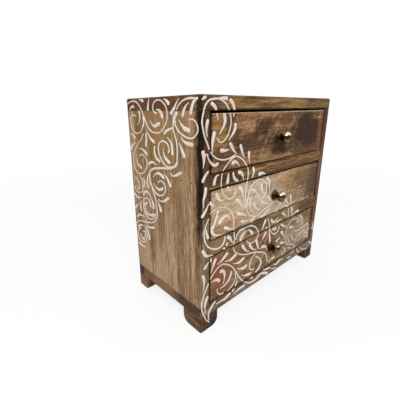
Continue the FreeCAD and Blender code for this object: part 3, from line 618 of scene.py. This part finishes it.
CASE_VINE = """
1.4 1.7 -99,200 -97,196.5 -93,196 -88.5,198 -84.5,203 -82,209.5 -82,215.5 -84,222 -87,227 -92,230.5
  -97.5,232.5 -104,232.5 -110,231 -114,227 -116,221.5 -117.5,215 -116.5,208.5 -114,201 -111.5,196.5
  -109,190.5
1.3 1.6 -108,189 -103.5,184 -97,181 -88,179.5 -80,180.5 -74,182
1.3 1.6 -71.5,148.5 -71.5,145 -73.5,141.5 -77.5,139 -82,139.5 -86.5,142.5 -90,147.5 -92.5,153
  -93,158.5 -92.5,164 -91,169 -87,173 -81.5,177.5 -76,180 -71,180 -65,177.5 -60.5,174.5 -56.5,170
  -53.5,166 -52.5,160.5 -53,154 -54.5,146 -55.5,138 -54.5,130 -52.5,122.5 -49.5,116 -44,111.5
  -36,108.5 -27.5,109.5 -19,112.5 -11.5,114 -3,117
0.9 3.4 -98.5,215 -100.5,221.5 -102.5,226 -107.5,229.5
1.7 2.8 -118,231.5 -112.5,234.5
1.6 3.2 -97.5,233.2 -92,233.3 -86.5,233
1.1 3.6 -78,217 -77.5,224 -80,229 -84,232.5
0.9 3 -111.5,201.5 -112.5,207 -112,211.5 -110.5,216.5
0.8 3.8 -116.5,175 -115.5,180 -115.5,185.5 -117,191
0.9 1.5 -114.5,184 -112.5,187 -110,185.5
0.9 3 -112,187.5 -110,183 -106.5,178.5 -102,176 -97,177.5
2 3.2 -109.5,172 -114,168 -117.5,162.5
1.3 3.5 -96,166.2 -99.3,165.6 -101.5,162.5 -103,157
1.8 3.6 -83,166 -83.6,160.5 -84.6,155
2.2 3.3 -76.5,166 -75.3,161.2 -72.6,157.6 -68.5,155.4
0.9 4 -59.8,154.6 -61,159 -64,163 -69,164.5
1.2 3.5 -46,154.6 -43,160.5 -45,166.3
1.6 3.8 -21.5,155.2 -28,157 -35,156.3
0.9 3.4 -115.5,138.5 -116,145 -114,151 -113,158
1.1 3.2 -109,141.5 -113,135.5 -118.5,129.5
1.3 1.9 -109,126.5 -113,120 -115,112.5 -114,104.5 -110.5,98 -104,93 -97,90.5 -90.5,91.5 -86.5,96
  -86,101
1.1 3.2 -113,117 -112,112 -109.5,105.5
0.9 3.8 -102.5,86 -109,87 -113.5,89.5 -117.5,96.5
1.1 3.8 -102,138.5 -105.5,140 -108.5,142.5
0.8 1.6 -108.5,130.5 -103,133 -97.5,134 -91.5,133.5 -85,131.5 -79.5,127.5 -75.5,122 -73.5,115.5
  -72.5,108.5 -72,101.5 -71,93.5 -71.5,86
1.1 3 16.5,103.5 21.5,106.5 27,106 32.5,103 37.5,99.5
1.3 1.3 36.5,100 37,93.5 37.5,86
1.2 3.4 45.5,85.5 46.5,90.5 45.5,96 42,100
0.9 3.4 32.5,87.5 28.5,92.5 25.5,95 21,97
1.1 3.4 49.5,86.5 53.5,88.5 59.5,90 65,88.5
1.4 1.7 -49,81.5 -44.5,78.5 -39,77 -32.5,77.5 -28.5,81 -27.5,85.5 -30,90 -34,94.5 -39.5,98
  -46.5,100 -54.5,100 -62,99 -66.5,96 -69,90.5
0.9 3.5 -49,95 -54.5,94 -59,90.5 -61,86
1.1 4.3 -48,96 -43.5,93 -38.5,87.5
0.9 4.2 -73,87.5 -76,92.5 -78.5,96 -82.5,99
1.7 2.6 -82,92.5 -83,88.5
1.5 2.4 -84.5,86.5 -88.5,87.5
0.9 3.4 -20.5,86.5 -18,92 -14,99
1.3 1.5 -11,99.5 -8,95 -6,89.5 -5.5,84.5 -3.5,75.5 -2,69
0.9 4 13.5,94 7.5,91 2,90.5 -3.5,95.5
1.5 2.4 -14,88.5 -10,86
0.9 2.6 22,88.5 15.5,89 9,87
1.5 2 -107,59 -101.5,64.5 -95,68 -89,69.5 -83,67 -76,62 -70.5,56.5 -67,51 -63.5,46 -60,40.5 -55,34
  -49,29 -41,24 -33,22.5 -25,23 -16,25.5
0.9 2.8 -63,42.5 -64,36 -67.5,31 -72,26.5
1.5 3 -13,29.5 -6,27.5 2.5,26.5
1.1 4 -26,25 -17.5,26 -9.5,23.5 -1.5,19.5
1.1 3.4 11,26.5 18.5,25 27,29
1.3 1.9 4.5,24 10.5,21.5 19,19.5
1.3 2.4 -41.5,30.5 -33.5,28
1.1 3.4 -97.5,24.5 -89.5,24.5 -83.5,24 -74,27
1.1 3.2 -69.5,22.5 -61,24.5 -48.5,25
1.4 2.8 -108.5,9.5 -109,16 -107,22 -103,26 -98.5,29.5
1.3 1.9 -107.5,7 -112,12.5 -115,19 -117.5,25.5 -118.5,32 -118,37.5 -116,43.5 -113,49 -109,56
0.9 3.4 -113.5,22 -114,29 -113,35.5 -110,41.5
0.9 3.4 -116.5,50.5 -115,58 -115.5,64.5 -117.5,69
1.5 3.2 -109,80.5 -112,77.5 -115.5,74.5
1.1 3.2 69.5,29.5 73.5,24 78.5,20
1.4 2 79.5,29 83.5,24 90,20 99,18 107,15.5 113.5,10
1.3 3.2 104.5,28.5 111,25 116.5,20
1.3 2.8 53,26 62,29
1.3 2.4 45,23 54.5,22
1.3 2.4 24,29 32.5,26.5
1.3 3.2 110.5,59 113.5,53 116.5,46
1.4 1.9 102.5,53 111,48.5 117,44.5
"""

# The stem that runs down over both the upper and the middle drawer.
LONG_STEM = """
1.3 1.6 -70,148 -70,144.5 -71.5,140.5 -75.5,138.5 -80.5,139 -84.5,142 -88.5,146.5 -91,152.5
  -91.5,157.5 -91,163.5 -89.5,168.5 -85.5,172.5 -80,177 -74,180 -69,180 -63.5,177.5 -58.5,174
  -54.5,169.5 -52,165.5 -50.5,160 -51,153.5 -53,145.5 -53.5,137.5 -53,129 -51,121.5 -47.5,115
  -42.5,110.5 -34,107.5 -25.5,108.5 -17,111.5 -9,113 -0.5,116"""

DRAWER_VINES = {
    "upper": LONG_STEM + """
1.4 1.7 -98,200 -95.5,196.5 -91.5,195.5 -87,198 -83,202.5 -80.5,209 -80,215.5 -82.5,222 -85.5,227
  -90.5,230.5 -96,232.5 -102.5,233 -108.5,231 -112.5,227 -115,221.5 -116,215 -115,208.5 -112.5,201
  -110,196 -107.5,190.5
1.3 1.6 -106.5,188.5 -102,184 -95.5,180.5 -86.5,179 -78,180 -72.5,182
0.9 3.4 -97,215 -99,221.5 -101,226 -106,229.5
1.1 3.6 -76.5,217 -76,224 -78,229 -82.5,232.5
0.9 3.6 -95.5,202.5 -90.5,208.5 -88,214 -89.5,221
0.9 3.4 -82.5,196 -77.5,201.5 -74,206.5 -73.5,212
1.1 4 -104,187 -104,193 -103,199.5 -101,206
0.9 3.9 -81,188 -87,187.5 -94,188.5
0.9 3.6 -69.5,182 -75,186.5 -78,190.5 -81,194.5
0.8 3.4 -57.5,176.5 -61,182 -63.5,187 -65.5,191.5
0.8 3 -49,170 -50.5,176.5 -51.5,183.5
0.9 3.8 -65.5,169.5 -68,173 -72.5,175 -77.5,173.5
0.9 3 -110.5,187 -109,182.5 -105,178 -100.5,175.5 -95.5,177
2.2 2.2 -104.5,171 -104,171
0.9 3.2 -94,168 -98,167.5 -100,163 -101.5,157
""",
    "middle": LONG_STEM + """
3.2 1.4 -82,165.5 -82.5,158.5 -82,152.5 -80.5,148.5 -77,147
1.1 3.2 -107.5,141 -111.5,135 -117.5,128.5
1.3 1.9 -107.5,126 -112,119 -113.5,111.5 -112.5,103.5 -109,97 -102.5,92 -95.5,89 -89,90.5 -85,95
  -84.5,100
1.1 3.8 -100.5,137.5 -104.5,139 -107,142
0.8 1.6 -107,129.5 -101.5,132 -96,133 -90,132.5 -83.5,130.5 -78,126.5 -74,121 -71.5,114.5 -71,107.5
  -70.5,100.5 -69.5,92.5 -69.5,84.5
2.2 2.6 -95,131 -97,124.5 -100,118 -102,113
0.9 3.6 -89.5,103 -96,104.5 -101,107 -103.5,111.5 -103,117
0.9 3.8 -76.5,115.5 -80,120.5 -85.5,121.5 -90,119.5 -94,115.5
0.9 3.8 -71,103 -76,105 -81.5,107.5 -86.5,110
0.9 4.3 -87.5,138.5 -93.5,141 -96,144.5 -98.5,149
0.8 4.2 -56.5,133.5 -58.5,140 -61,145 -65.5,148.5
1.4 1.6 -43,139 -39.5,141 -36.5,138.5 -33,134 -29.5,129 -25.5,126.5 -20.5,127.5 -16.5,130.5 -15,136
  -16,142 -20,146.5 -26.5,149.5 -33.5,149.5 -40,148 -44.5,144 -47.5,138 -49,131.5 -50,124.5
0.9 3.4 -36.5,135 -40,140 -43.5,139.5
2 1.1 -44.5,132 -44.5,124.5 -43,118 -36.5,113
1.1 3.2 -23,113 -30,115 -35,119 -38,125
0.9 3.6 -7,115.5 -14.5,118.5 -19.5,120.5 -24,122.5
0.9 3.8 -20,131 -23,135.5 -25,140 -25.5,144
0.9 3.4 -9.5,131.5 -9.5,140 -12,146.5 -17,149
1.1 3.4 2,116 -3.5,119 -8,123 -12,127
1.3 3.4 0,116 7.5,116 13.5,114 19.5,108.5
1.1 2.4 17.5,111 13.5,108 11,104.5 9,100.5
1.1 3 -3.5,110.5 -9,108.5 -15,106 -22,103
1.3 3 -31.5,108 -36.5,105.5 -42,102.5
1.1 3.2 -43,106.5 -50.5,106.5 -59.5,108.5
1.1 3.9 -48.5,112.5 -55.5,115.5 -61,117.5 -66.5,120
0.9 3.9 -56,123.5 -61,129 -64.5,133 -69.5,135.5
0.9 3.4 43,101 42.5,107 42,112.5 40,117.5
1.1 3.2 37.5,104.5 33,109 29,113.5
1.1 3 19,102.5 24,105.5 29.5,105 35.5,102 40,98.5
""",
    "lower": """
1.4 1.7 -47,80.5 -42.5,77 -37,75.5 -30.5,76.5 -26.5,80 -25.5,84.5 -28,89 -32,93.5 -38,97 -44.5,99
  -53,99 -60,98 -65,95 -67.5,89.5
1.3 1.5 -8.5,98.5 -5.5,94 -4,88.5 -3,83.5 -1,74.5 0,67.5
1.3 2.6 -105,82.5 -104,77.5
0.9 3.5 -104.5,65 -102,70.5 -99.5,75.5 -97,79.5
0.9 3.8 -95,71 -89,73 -83.5,76 -78.5,79
0.9 3.8 -83.5,70 -77,68.5 -71.5,69 -64.5,71.5
0.9 3.5 -70.5,61.5 -65,60 -58.5,59 -50,61.5
0.9 3.5 -62.5,52.5 -56.5,49.5 -50.5,48 -44.5,49.5
0.9 3.5 -54.5,39.5 -48,37 -42,35 -36.5,35
0.9 3.9 -104.5,53.5 -99,54 -94.5,52.5 -90.5,49
0.9 3.9 -85.5,43 -83.5,50.5 -84,56.5 -87,60 -91.5,60.5
0.9 3 -91,39 -82.5,40.5 -77,44 -73.5,49 -72,53.5
1.3 1.7 -94.5,42 -94.5,38 -92,34 -88.5,31.5 -84.5,32
1.5 2 -105.5,58 -100,63 -93.5,67 -87.5,68 -81,65.5 -74.5,61 -69,55.5 -65,49.5 -62,44.5 -58,39
  -53,32.5 -47,27 -39,22.5 -31,20.5 -22.5,21 -13.5,24
1.4 1.4 -66.5,48.5 -65,43.5 -66,38 -69.5,34 -75,31.5 -79.5,30.5
0.9 2.8 -61.5,41 -62.5,34.5 -65.5,29.5 -70,24.5
1.4 1.7 -71,82 -68,76 -63,71.5 -56,67.5 -47.5,64.5 -39,62.5 -28,60 -20,56.5 -12,53.5 -7,49 -4,43
  -2.5,36
1.2 1.6 -28.5,60 -32,57.5 -36.5,54 -39.5,49 -39.5,43.5 -36.5,39.5 -30,38
1.5 2.8 -29,55 -23.5,51 -18.5,46.5 -16.5,41 -20,35.5 -27,31
0.9 3.8 -40.5,65.5 -46,68 -50.5,72.5 -53.5,76 -55.5,80
0.9 3.4 -17,72 -13,76.5 -9,81
0.9 3.2 -3.5,81 -2,74 0,67 -1,62
0.9 3.8 -19,61 -24,64.5 -27,71 -29,77
0.9 3.8 -29,64 -35,66.5 -39,71 -42.5,75.5
0.9 4 -3.5,52 -7,58.5 -11.5,61.5 -18,62.5
0.9 3.4 -0.5,34 5,36.5 15,37
1.3 2 -1,81.5 3,75.5 8,72 13,71.5 18,74 20,79.5
1.3 3.8 2.5,81.5 7.5,78.5 13,79
1.1 3.3 35.5,73 29,77 23,80.5
0.9 3.8 33,60 29,65.5 24.5,70
1.1 3.3 24,61.5 19,60.5 14.5,58
1.1 3.3 35.5,49 30,52 24.5,53
1.3 1.9 -106,5 -110.5,11 -113.5,17.5 -116,24 -117.5,30.5 -117,36 -115,42 -111.5,47.5 -107.5,54.5
1.5 3.2 -107.5,79.5 -111,76.5 -114,73.5
1.3 1.9 26.5,79.5 33.5,75 38,70 39,63 38.5,55.5 41,48.5 46.5,43.5 55,40.5 64,37.5
0.9 3.4 36.5,56 31.5,63 27.5,69.5
0.9 3.2 39.5,50 33,51 26.5,52
0.9 3.8 60.5,64.5 53,68 45.5,69
1.3 2.2 39.5,69 44,75 52.5,78.5 62,77.5 72,73.5 78.5,68 81.5,61.5
1.1 3.9 84,63 81,71 72.5,80
0.9 3.4 72,65 70,70.5 64,72.5
1.3 2.4 58.5,61 66.5,57.5 75,57 86,58 96.5,60.5
1.1 3.4 104.5,53.5 100.5,57.5 94.5,61
1.1 3 66,51.5 74,48 83,50.5 93,52
1.1 3 71,42 61.5,45 56.5,50 53,56.5
1.1 2 45,61.5 44.5,55 47.5,48.5 52.5,44.5
1.3 3.8 88.5,49 96,45.5 104,41.5
1.3 3.8 91,36.5 97.5,39 105,36.5
1.3 2.2 83.5,42 93,44 101.5,49 106.5,51
0.9 2.8 32,43.5 37.5,40.5 41.5,33
1.1 2.6 32.5,39 34,31.5
1.1 3 45,38 51.5,36.5 56,33
1.1 3 61,31 67,34.5
1.4 1.9 106,51.5 114,47 120,43
""",
}

STEPS_PER_SPAN = 24
GROWN_BY = 0.75
LEAST_HEIGHT = 0.2
SUNK = 0.12
ON_THE_FACE = 0.9
FEWEST_POINTS = 9


def beads_in(vine):
    """Each bead of a vine: its width at the start, its width at its fattest, its points."""
    for row in vine.strip().replace("\n  ", " ").splitlines():
        start_width, fat_width, points = row.split(maxsplit=2)
        yield float(start_width), float(fat_width), points


def smooth_line(text, step=0.5):
    """The Catmull-Rom curve through the points in text, as points step mm apart.

    Between points b and c with neighbours a and d, the curve at share t is
    (2b + (c-a)t + (2a-5b+4c-d)t^2 + (3b-a-3c+d)t^3) / 2. How far along the curve each
    point lies is returned with them.
    """
    knots = np.array([pair.split(",") for pair in text.split()], float)
    before = 2 * knots[:1] - knots[1:2]
    after = 2 * knots[-1:] - knots[-2:-1]
    knots = np.concatenate([before, knots, after])
    spans = len(knots) - 3
    share = np.linspace(0, spans, STEPS_PER_SPAN * spans + 1)
    first = np.minimum(share.astype(int), spans - 1)
    t = (share - first)[:, None]
    a, b, c, d = (knots[first + ahead] for ahead in range(4))
    curve = b + ((c - a) * t + (2 * a - 5 * b + 4 * c - d) * t**2) / 2
    curve += (3 * b - a - 3 * c + d) * t**3 / 2
    run = np.append(0, np.cumsum(np.linalg.norm(np.diff(curve, axis=0), axis=1)))
    even = np.linspace(0, run[-1], max(int(run[-1] / step), 6) + 1)
    return np.stack([np.interp(even, run, curve[:, axis]) for axis in range(2)], 1), even


def bead(start_width, fat_width, text):
    """A domed bead of paste along a line, as rings of (across, up, height) points.

    Its width grows from start_width to fat_width over the first GROWN_BY of its run as a
    squared sine, and both ends round off as half circles. Its height over the wood is
    LEAST_HEIGHT and a sixth of the width, times the 0.8th power of a cosine over the
    width, and its rim is SUNK into the wood.
    """
    line, run = smooth_line(text)
    if start_width > fat_width:
        line = line[::-1]
        start_width, fat_width = fat_width, start_width
    grown = np.sin(np.clip(run / run[-1] / GROWN_BY, 0, 1) * np.pi / 2) ** 2
    half = (start_width + (fat_width - start_width) * grown) / 2
    to_end = np.minimum(run / half[0], (run[-1] - run) / half[-1])
    closing = np.sqrt(np.clip(1 - (1 - np.clip(to_end, 0.004, 1)) ** 2, 0, 1))
    direction = np.gradient(line, axis=0)
    direction /= np.linalg.norm(direction, axis=1)[:, None]
    sideways = np.stack([-direction[:, 1], direction[:, 0]], 1)
    angle = np.radians([-90, -90, -66, -38, -13, 13, 38, 66, 90, 90])
    to_side = (half * closing)[:, None] * np.sin(angle)
    across = line[:, None] + sideways[:, None] * to_side[..., None]
    height = ((LEAST_HEIGHT + half / 3) * closing)[:, None] * np.cos(angle) ** 0.8
    height[:, [0, -1]] = -SUNK
    return line, half, np.concatenate([across, height[..., None]], 2)


def rings_joined(rings, points, first=0):
    """The four-cornered faces between rings in a row, each of so many points, as indices."""
    index = np.arange(rings * points).reshape(rings, points) + first
    following = np.roll(index, -1, axis=1)
    quads = np.stack([index[:-1], following[:-1], following[1:], index[1:]], -1)
    return index, quads.reshape(-1, 4).tolist()


def smooth_piece(name, corners, faces, finish, weld):
    """A smoothly shaded piece of corners in mm, in which corners within weld mm are merged."""
    mesh = bpy.data.meshes.new(name)
    mesh.from_pydata(corners / 1000, [], faces)
    welded = bmesh.new()
    welded.from_mesh(mesh)
    bmesh.ops.remove_doubles(welded, verts=welded.verts, dist=weld / 1000)
    bmesh.ops.dissolve_degenerate(welded, edges=welded.edges, dist=1e-6)
    bmesh.ops.recalc_face_normals(welded, faces=welded.faces)
    welded.to_mesh(mesh)
    welded.free()
    mesh.polygons.foreach_set("use_smooth", [True] * len(mesh.polygons))
    mesh.materials.append(finish.material)
    piece = bpy.data.objects.new(name, mesh)
    bpy.context.scene.collection.objects.link(piece)
    return piece


def pipe_on(node, body, vine, trims, side=False):
    """The beads of a vine that lie on one board's face, cut off at its edges, as one piece.

    The face is the board's front, or its left side, less trims = (left or front, right or
    back, bottom, top) in mm. A bead is on it where its line is, or misses it by less than
    ON_THE_FACE of half the bead's width. A bead that runs off the face ends in a flat cut
    there, and a cut stretch of fewer than FEWEST_POINTS points is left out.
    """
    lowest, highest = (np.array(corner) * 1000 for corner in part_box(node))
    across, outward = (DEEP, ACROSS) if side else (ACROSS, DEEP)
    low = lowest[[across, UPRIGHT]] + (trims[0], trims[2])
    high = highest[[across, UPRIGHT]] - (trims[1], trims[3])
    corners, faces = [], []
    for start_width, fat_width, points in beads_in(vine):
        line, half, rings = bead(start_width, fat_width, points)
        reach = half[:, None] * ON_THE_FACE
        on_it = np.all((line > low - reach) & (line < high + reach), axis=1)
        turns = np.flatnonzero(np.diff(np.concatenate([[0], on_it, [0]])))
        for begin, end in turns.reshape(-1, 2):
            whole = end - begin == len(line)
            if not whole and end - begin < FEWEST_POINTS:
                continue
            part = rings[begin:end].copy()
            part[..., :2] = np.clip(part[..., :2], low, high)
            index, quads = rings_joined(end - begin, part.shape[1], sum(map(len, corners)))
            faces += quads + [index[0, ::-1].tolist(), index[-1].tolist()]
            corners.append(part.reshape(-1, 3))
    corners = np.concatenate(corners)
    placed = np.empty_like(corners)
    placed[:, [across, UPRIGHT]] = corners[:, :2]
    placed[:, outward] = lowest[outward] - corners[:, 2]
    name = f"{'side' if side else 'front'}_vine_on_{node}"
    piece = smooth_piece(name, placed, faces, PASTE, weld=0.002)
    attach(piece, body)


PASTE = Finish("piped_paste")
cloud = PASTE.noise((9, 9, 9), 3.0, 2.0)
grit = PASTE.noise((0.5, 0.5, 0.5), 3.0, 5.0, 0.6)
rubbed = PASTE.noise((2.2, 2.2, 2.2), 4.0, 8.0, 0.65).eased(0.7, 0.95)
chalk = PASTE.mix(cloud, (221, 208, 193), (228, 223, 214))
chalk = PASTE.mix(grit * 0.22, chalk, (176, 152, 128))
chalk = PASTE.mix(rubbed * 0.45, chalk, (170, 138, 108))
WORN_THIN = (186, 166, 145)
for centre, reach, strength in (
    ((76, -52, 48), (60, 9, 46), 0.75),
    ((20, -52, 96), (30, 9, 20), 0.4),
    ((-36, -52, 112), (34, 9, 14), 0.35),
    ((-121, 52, 170), (9, 24, 84), 0.45),
    ((-100, -54, 190), (44, 8, 66), 0.3),
    ((-96, -54, 56), (40, 8, 40), 0.3),
):
    chalk = PASTE.spot(chalk, centre, reach, WORN_THIN, strength, cloud * 0.5 - 0.25)
PASTE.feed("Base Color", chalk)
PASTE.feed("Roughness", 0.78 - grit * 0.12)
PASTE.emboss(grit * 0.6 + cloud * 0.4, depth=0.12, strength=0.5)

pipe_on("left_side_panel", "case", SIDE_VINE, (0.4, 0.4, 0, 0), side=True)
pipe_on("top_board", "case", SIDE_VINE, (0.6, 1.0, 0, 1.3), side=True)

CASE_TRIMS = {
    "left_side_panel": (0.5, 0, 0, 0),
    "right_side_panel": (0, 0.5, 0, 0),
    "top_board": (1.2, 1.2, 0.2, 1.3),
    "bottom_board": (0.6, 0.6, 0, 0.2),
    "upper_rail": (0, 0, 0.3, 0.3),
    "lower_rail": (0, 0, 0.3, 0.3),
    "front_left_foot": (0.5, 0.3, 1.0, 0),
}
for board, trims in CASE_TRIMS.items():
    pipe_on(board, "case", CASE_VINE, trims)
for level, vine in DRAWER_VINES.items():
    pipe_on(f"{level}_drawer_front", f"{level}_drawer", vine, (0.6, 0.6, 0.6, 0.6))

# ------------------------------------------------------
# Knobs
# Small antique brass knobs are turned in one piece: a round collar, a slim
# neck and an oval head. A threaded stud runs back through the drawer front.

KNOB_ACROSS = 1.6
KNOB_FACE = -52.05
KNOB_SHAPE = (
    "-14.7,0 -14.7,1.9 -14,1.95 -7,1.95 -0.4,1.95 0,2.4 0,5.6 0.2,6.25 0.9,6.4 1.6,6.2 "
    "2.1,5.4 2.5,4.6 3.2,4.1 4.4,4 5.6,4.05 6.4,4.5 7.1,5.2 8,5.85 9.1,6.25 10.4,6.35 "
    "11.6,6.1 12.7,5.35 13.6,4.1 14.2,2.6 14.45,1.3 14.5,0"
)
POINTS_ROUND = 56


def turned(name, height, finish):
    """A knob as its outline turned about its axis.

    A point at distance out in front of the face and radius r, at angle w round the
    axis, sits at (across + r cos w, face - out, height + r sin w).
    """
    outline, _ = smooth_line(KNOB_SHAPE, step=0.25)
    angle = np.linspace(0, 2 * np.pi, POINTS_ROUND, endpoint=False)[None, :]
    out = outline[:, :1]
    radius = np.maximum(outline[:, 1:], 0)
    x = KNOB_ACROSS + radius * np.cos(angle)
    y = KNOB_FACE - out + 0 * angle
    z = height + radius * np.sin(angle)
    _, quads = rings_joined(*x.shape)
    corners = np.stack([x, y, z], -1).reshape(-1, 3)
    return smooth_piece(name, corners, quads, finish, weld=0.005)


def brass(name, height, highlight_from, lower_reflection_from):
    """Dark antique brass with a painted reflection: a painted highlight over the head, a nearly
    black band that stands in for a dark reflection, and a lighter painted reflection below.

    highlight_from and lower_reflection_from are how far over the knob's axis the painted highlight
    and the lighter painted reflection begin, in mm.
    """
    finish = Finish(name)
    patina = finish.noise((1.6, 1.6, 1.6), 4.0, 3.0, 0.6)
    turning = finish.noise((40, 0.16, 40), 1.0, 6.0)
    rise = finish.share_of(finish.place, UPRIGHT) - height + (patina - 0.5) * 0.8
    out = KNOB_FACE - finish.share_of(finish.place, DEEP)
    head = out.eased(6.5, 9.0)
    # A painted highlight over the head's top, and a lighter painted reflection below its middle;
    # the dark brass between stands in for a dark reflection.
    rubbed = rise.eased(highlight_from, highlight_from + 0.9) * (head * 0.92 + 0.08)
    under = rise.eased(lower_reflection_from, lower_reflection_from - 1.6) * head
    colour = finish.mix(under, (58, 40, 16), (118, 102, 74))
    colour = finish.mix(rubbed, colour, (255, 234, 206))
    finish.feed("Base Color", finish.mix(patina * 0.25, colour, (48, 34, 16)))
    finish.feed("Metallic", 1.0)
    finish.feed("Roughness", 0.3 + patina * 0.15 - rubbed * 0.1)
    finish.emboss(turning, depth=0.02, strength=0.25)
    return finish


# The height of each knob's axis, and how far over it the painted highlight and the lighter painted
# reflection begin, in mm.
KNOBS = {
    "lower": (56.0, 4.7, 3.2),
    "middle": (125.45, 2.7, 0.7),
    "upper": (193.63, 2.3, -0.8),
}
for level, (height, highlight_from, lower_reflection_from) in KNOBS.items():
    metal = brass(f"{level}_knob_brass", height, highlight_from, lower_reflection_from)
    knob = turned(f"{level}_turned_knob", height, metal)
    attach(knob, f"{level}_drawer")
    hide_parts(f"{level}_knob")

# ------------------------------------------------------
# Nuts, nails and pins
# Steel nuts hold the knobs from inside. Cut nails and brads join the boards.
# The steel has gone brown.


def steel(name, bright, stain, nodes):
    """Steel browned by a thin, patchy film of rust."""
    finish = Finish(name)
    film = finish.noise((1.2, 1.2, 1.2), 4.0, 4.0, 0.6)
    speck = finish.noise((0.3, 0.3, 0.3), 2.0, 9.0)
    finish.feed("Metallic", 0.9 - film * 0.6)
    finish.feed("Base Color", finish.mix(film, bright, stain))
    finish.feed("Roughness", 0.4 + film * 0.3)
    finish.emboss(film * 0.7 + speck * 0.3, depth=0.05, strength=0.4)
    finish.cover(nodes)


NUTS = [f"{level}_knob_nut" for level in ("upper", "middle", "lower")]
NAILS = ["rail_nails", "top_board_nails", "bottom_board_nails", "foot_nails", "back_panel_pins"]
PINS = [f"{level}_drawer_pins" for level in ("upper", "middle", "lower")]

steel("nut_steel", (150, 146, 140), (104, 84, 66), NUTS)
steel("nail_steel", (78, 68, 60), (58, 38, 26), NAILS + PINS)

# ------------------------------------------------------
# Floor, light and camera
# The chest stands on a plain white studio floor under one broad soft lamp
# and a white room.

WHITE = (1, 1, 1, 1)
FLOOR_HALF = 3.0
FLOOR_FADE = (250.0, 1100.0)
FLOOR_GLOW = 0.8
ROOM_LIGHT = 0.62
BACKDROP_LIGHT = 1.0


def looked_at(nodes):
    """1 where the camera, a reflection or glass looks, and 0 for light that falls on things."""
    rays = [f"Is {kind} Ray" for kind in ("Camera", "Glossy", "Transmission")]
    camera_ray, glossy, clear = (nodes.node("ShaderNodeLightPath", {}, {}, ray) for ray in rays)
    return camera_ray.most(glossy).most(clear)


floor_mesh = bpy.data.meshes.new("studio_floor")
around = ((-1, -1), (1, -1), (1, 1), (-1, 1))
corners = [(x * FLOOR_HALF, y * FLOOR_HALF, 0) for x, y in around]
floor_mesh.from_pydata(corners, [], [(0, 1, 2, 3)])
floor = bpy.data.objects.new("studio_floor", floor_mesh)
bpy.context.scene.collection.objects.link(floor)
FLOOR = Finish("studio_white")
paper = FLOOR.mix(FLOOR.noise((300, 300, 300), 2.0), (212, 212, 212), (215, 215, 215))
seen = looked_at(FLOOR)
FLOOR.feed("Base Color", FLOOR.mix(seen, paper, (255, 255, 255)))
FLOOR.feed("Roughness", 0.9)
FLOOR.feed("Specular IOR Level", 0.0)
glow = FLOOR.node("ShaderNodeEmission", {}, {"Color": WHITE, "Strength": BACKDROP_LIGHT})
far = FLOOR.vector_math("LENGTH", {0: FLOOR.place}, 1).eased(*FLOOR_FADE)
share = seen * (far * (1 - FLOOR_GLOW) + FLOOR_GLOW)
plain = Flow(FLOOR, FLOOR.shader.outputs[0])
white = FLOOR.node("ShaderNodeMixShader", {}, {0: share, 1: plain, 2: glow})
FLOOR.join(white, FLOOR.tree.nodes["Material Output"].inputs["Surface"])
floor_mesh.materials.append(FLOOR.material)

world = bpy.data.worlds.new("white_room")
bpy.context.scene.world = world
world.use_nodes = True
room = Nodes(world.node_tree)
walls = room.tree.nodes["Background"]
room.join(WHITE, walls.inputs["Color"])
room.join(ROOM_LIGHT, walls.inputs["Strength"])
backdrop = room.node("ShaderNodeBackground", {}, {"Color": WHITE, "Strength": BACKDROP_LIGHT})
lit = Flow(room, walls.outputs[0])
shown = room.node("ShaderNodeMixShader", {}, {0: looked_at(room), 1: lit, 2: backdrop})
room.join(shown, room.tree.nodes["World Output"].inputs["Surface"])


def aimed(place, yaw, pitch, roll=0.0):
    """A matrix whose -Z axis points yaw degrees from +Y towards +X and pitch degrees down.

    roll turns it clockwise about that axis. Its columns are right, up and back.
    """
    yaw, pitch, roll = np.radians([yaw, pitch, roll])
    ahead = np.array([np.sin(yaw) * np.cos(pitch), np.cos(yaw) * np.cos(pitch), -np.sin(pitch)])
    sideways = np.array([np.cos(yaw), -np.sin(yaw), 0])
    down = np.cross(ahead, sideways)
    right = np.cos(roll) * sideways + np.sin(roll) * down
    down = np.cos(roll) * down - np.sin(roll) * sideways
    matrix = np.eye(4)
    matrix[:3] = np.stack([right, -down, -ahead, place], 1)
    return Matrix(matrix.tolist())


lamp = bpy.data.lights.new("soft_lamp", "AREA")
lamp.shape = "DISK"
lamp.size = 0.9
lamp.energy = 13
soft_lamp = bpy.data.objects.new("soft_lamp", lamp)
lamp_place = (-0.75, -0.85, 0.95)
soft_lamp.matrix_world = aimed(lamp_place, yaw=41.5, pitch=38.0)
bpy.context.scene.collection.objects.link(soft_lamp)

lens = bpy.data.cameras.new("camera")
lens.sensor_width = 36.0
lens.lens = 24.597
lens.shift_x = 0.01352
lens.shift_y = -0.01806
camera = bpy.data.objects.new("camera", lens)
camera_place = (-0.27588, -0.22217, 0.22495)
camera.matrix_world = aimed(camera_place, yaw=41.5231, pitch=17.1302, roll=0.6071)
bpy.context.scene.collection.objects.link(camera)
bpy.context.scene.camera = camera
bpy.context.scene.view_settings.view_transform = "Standard"
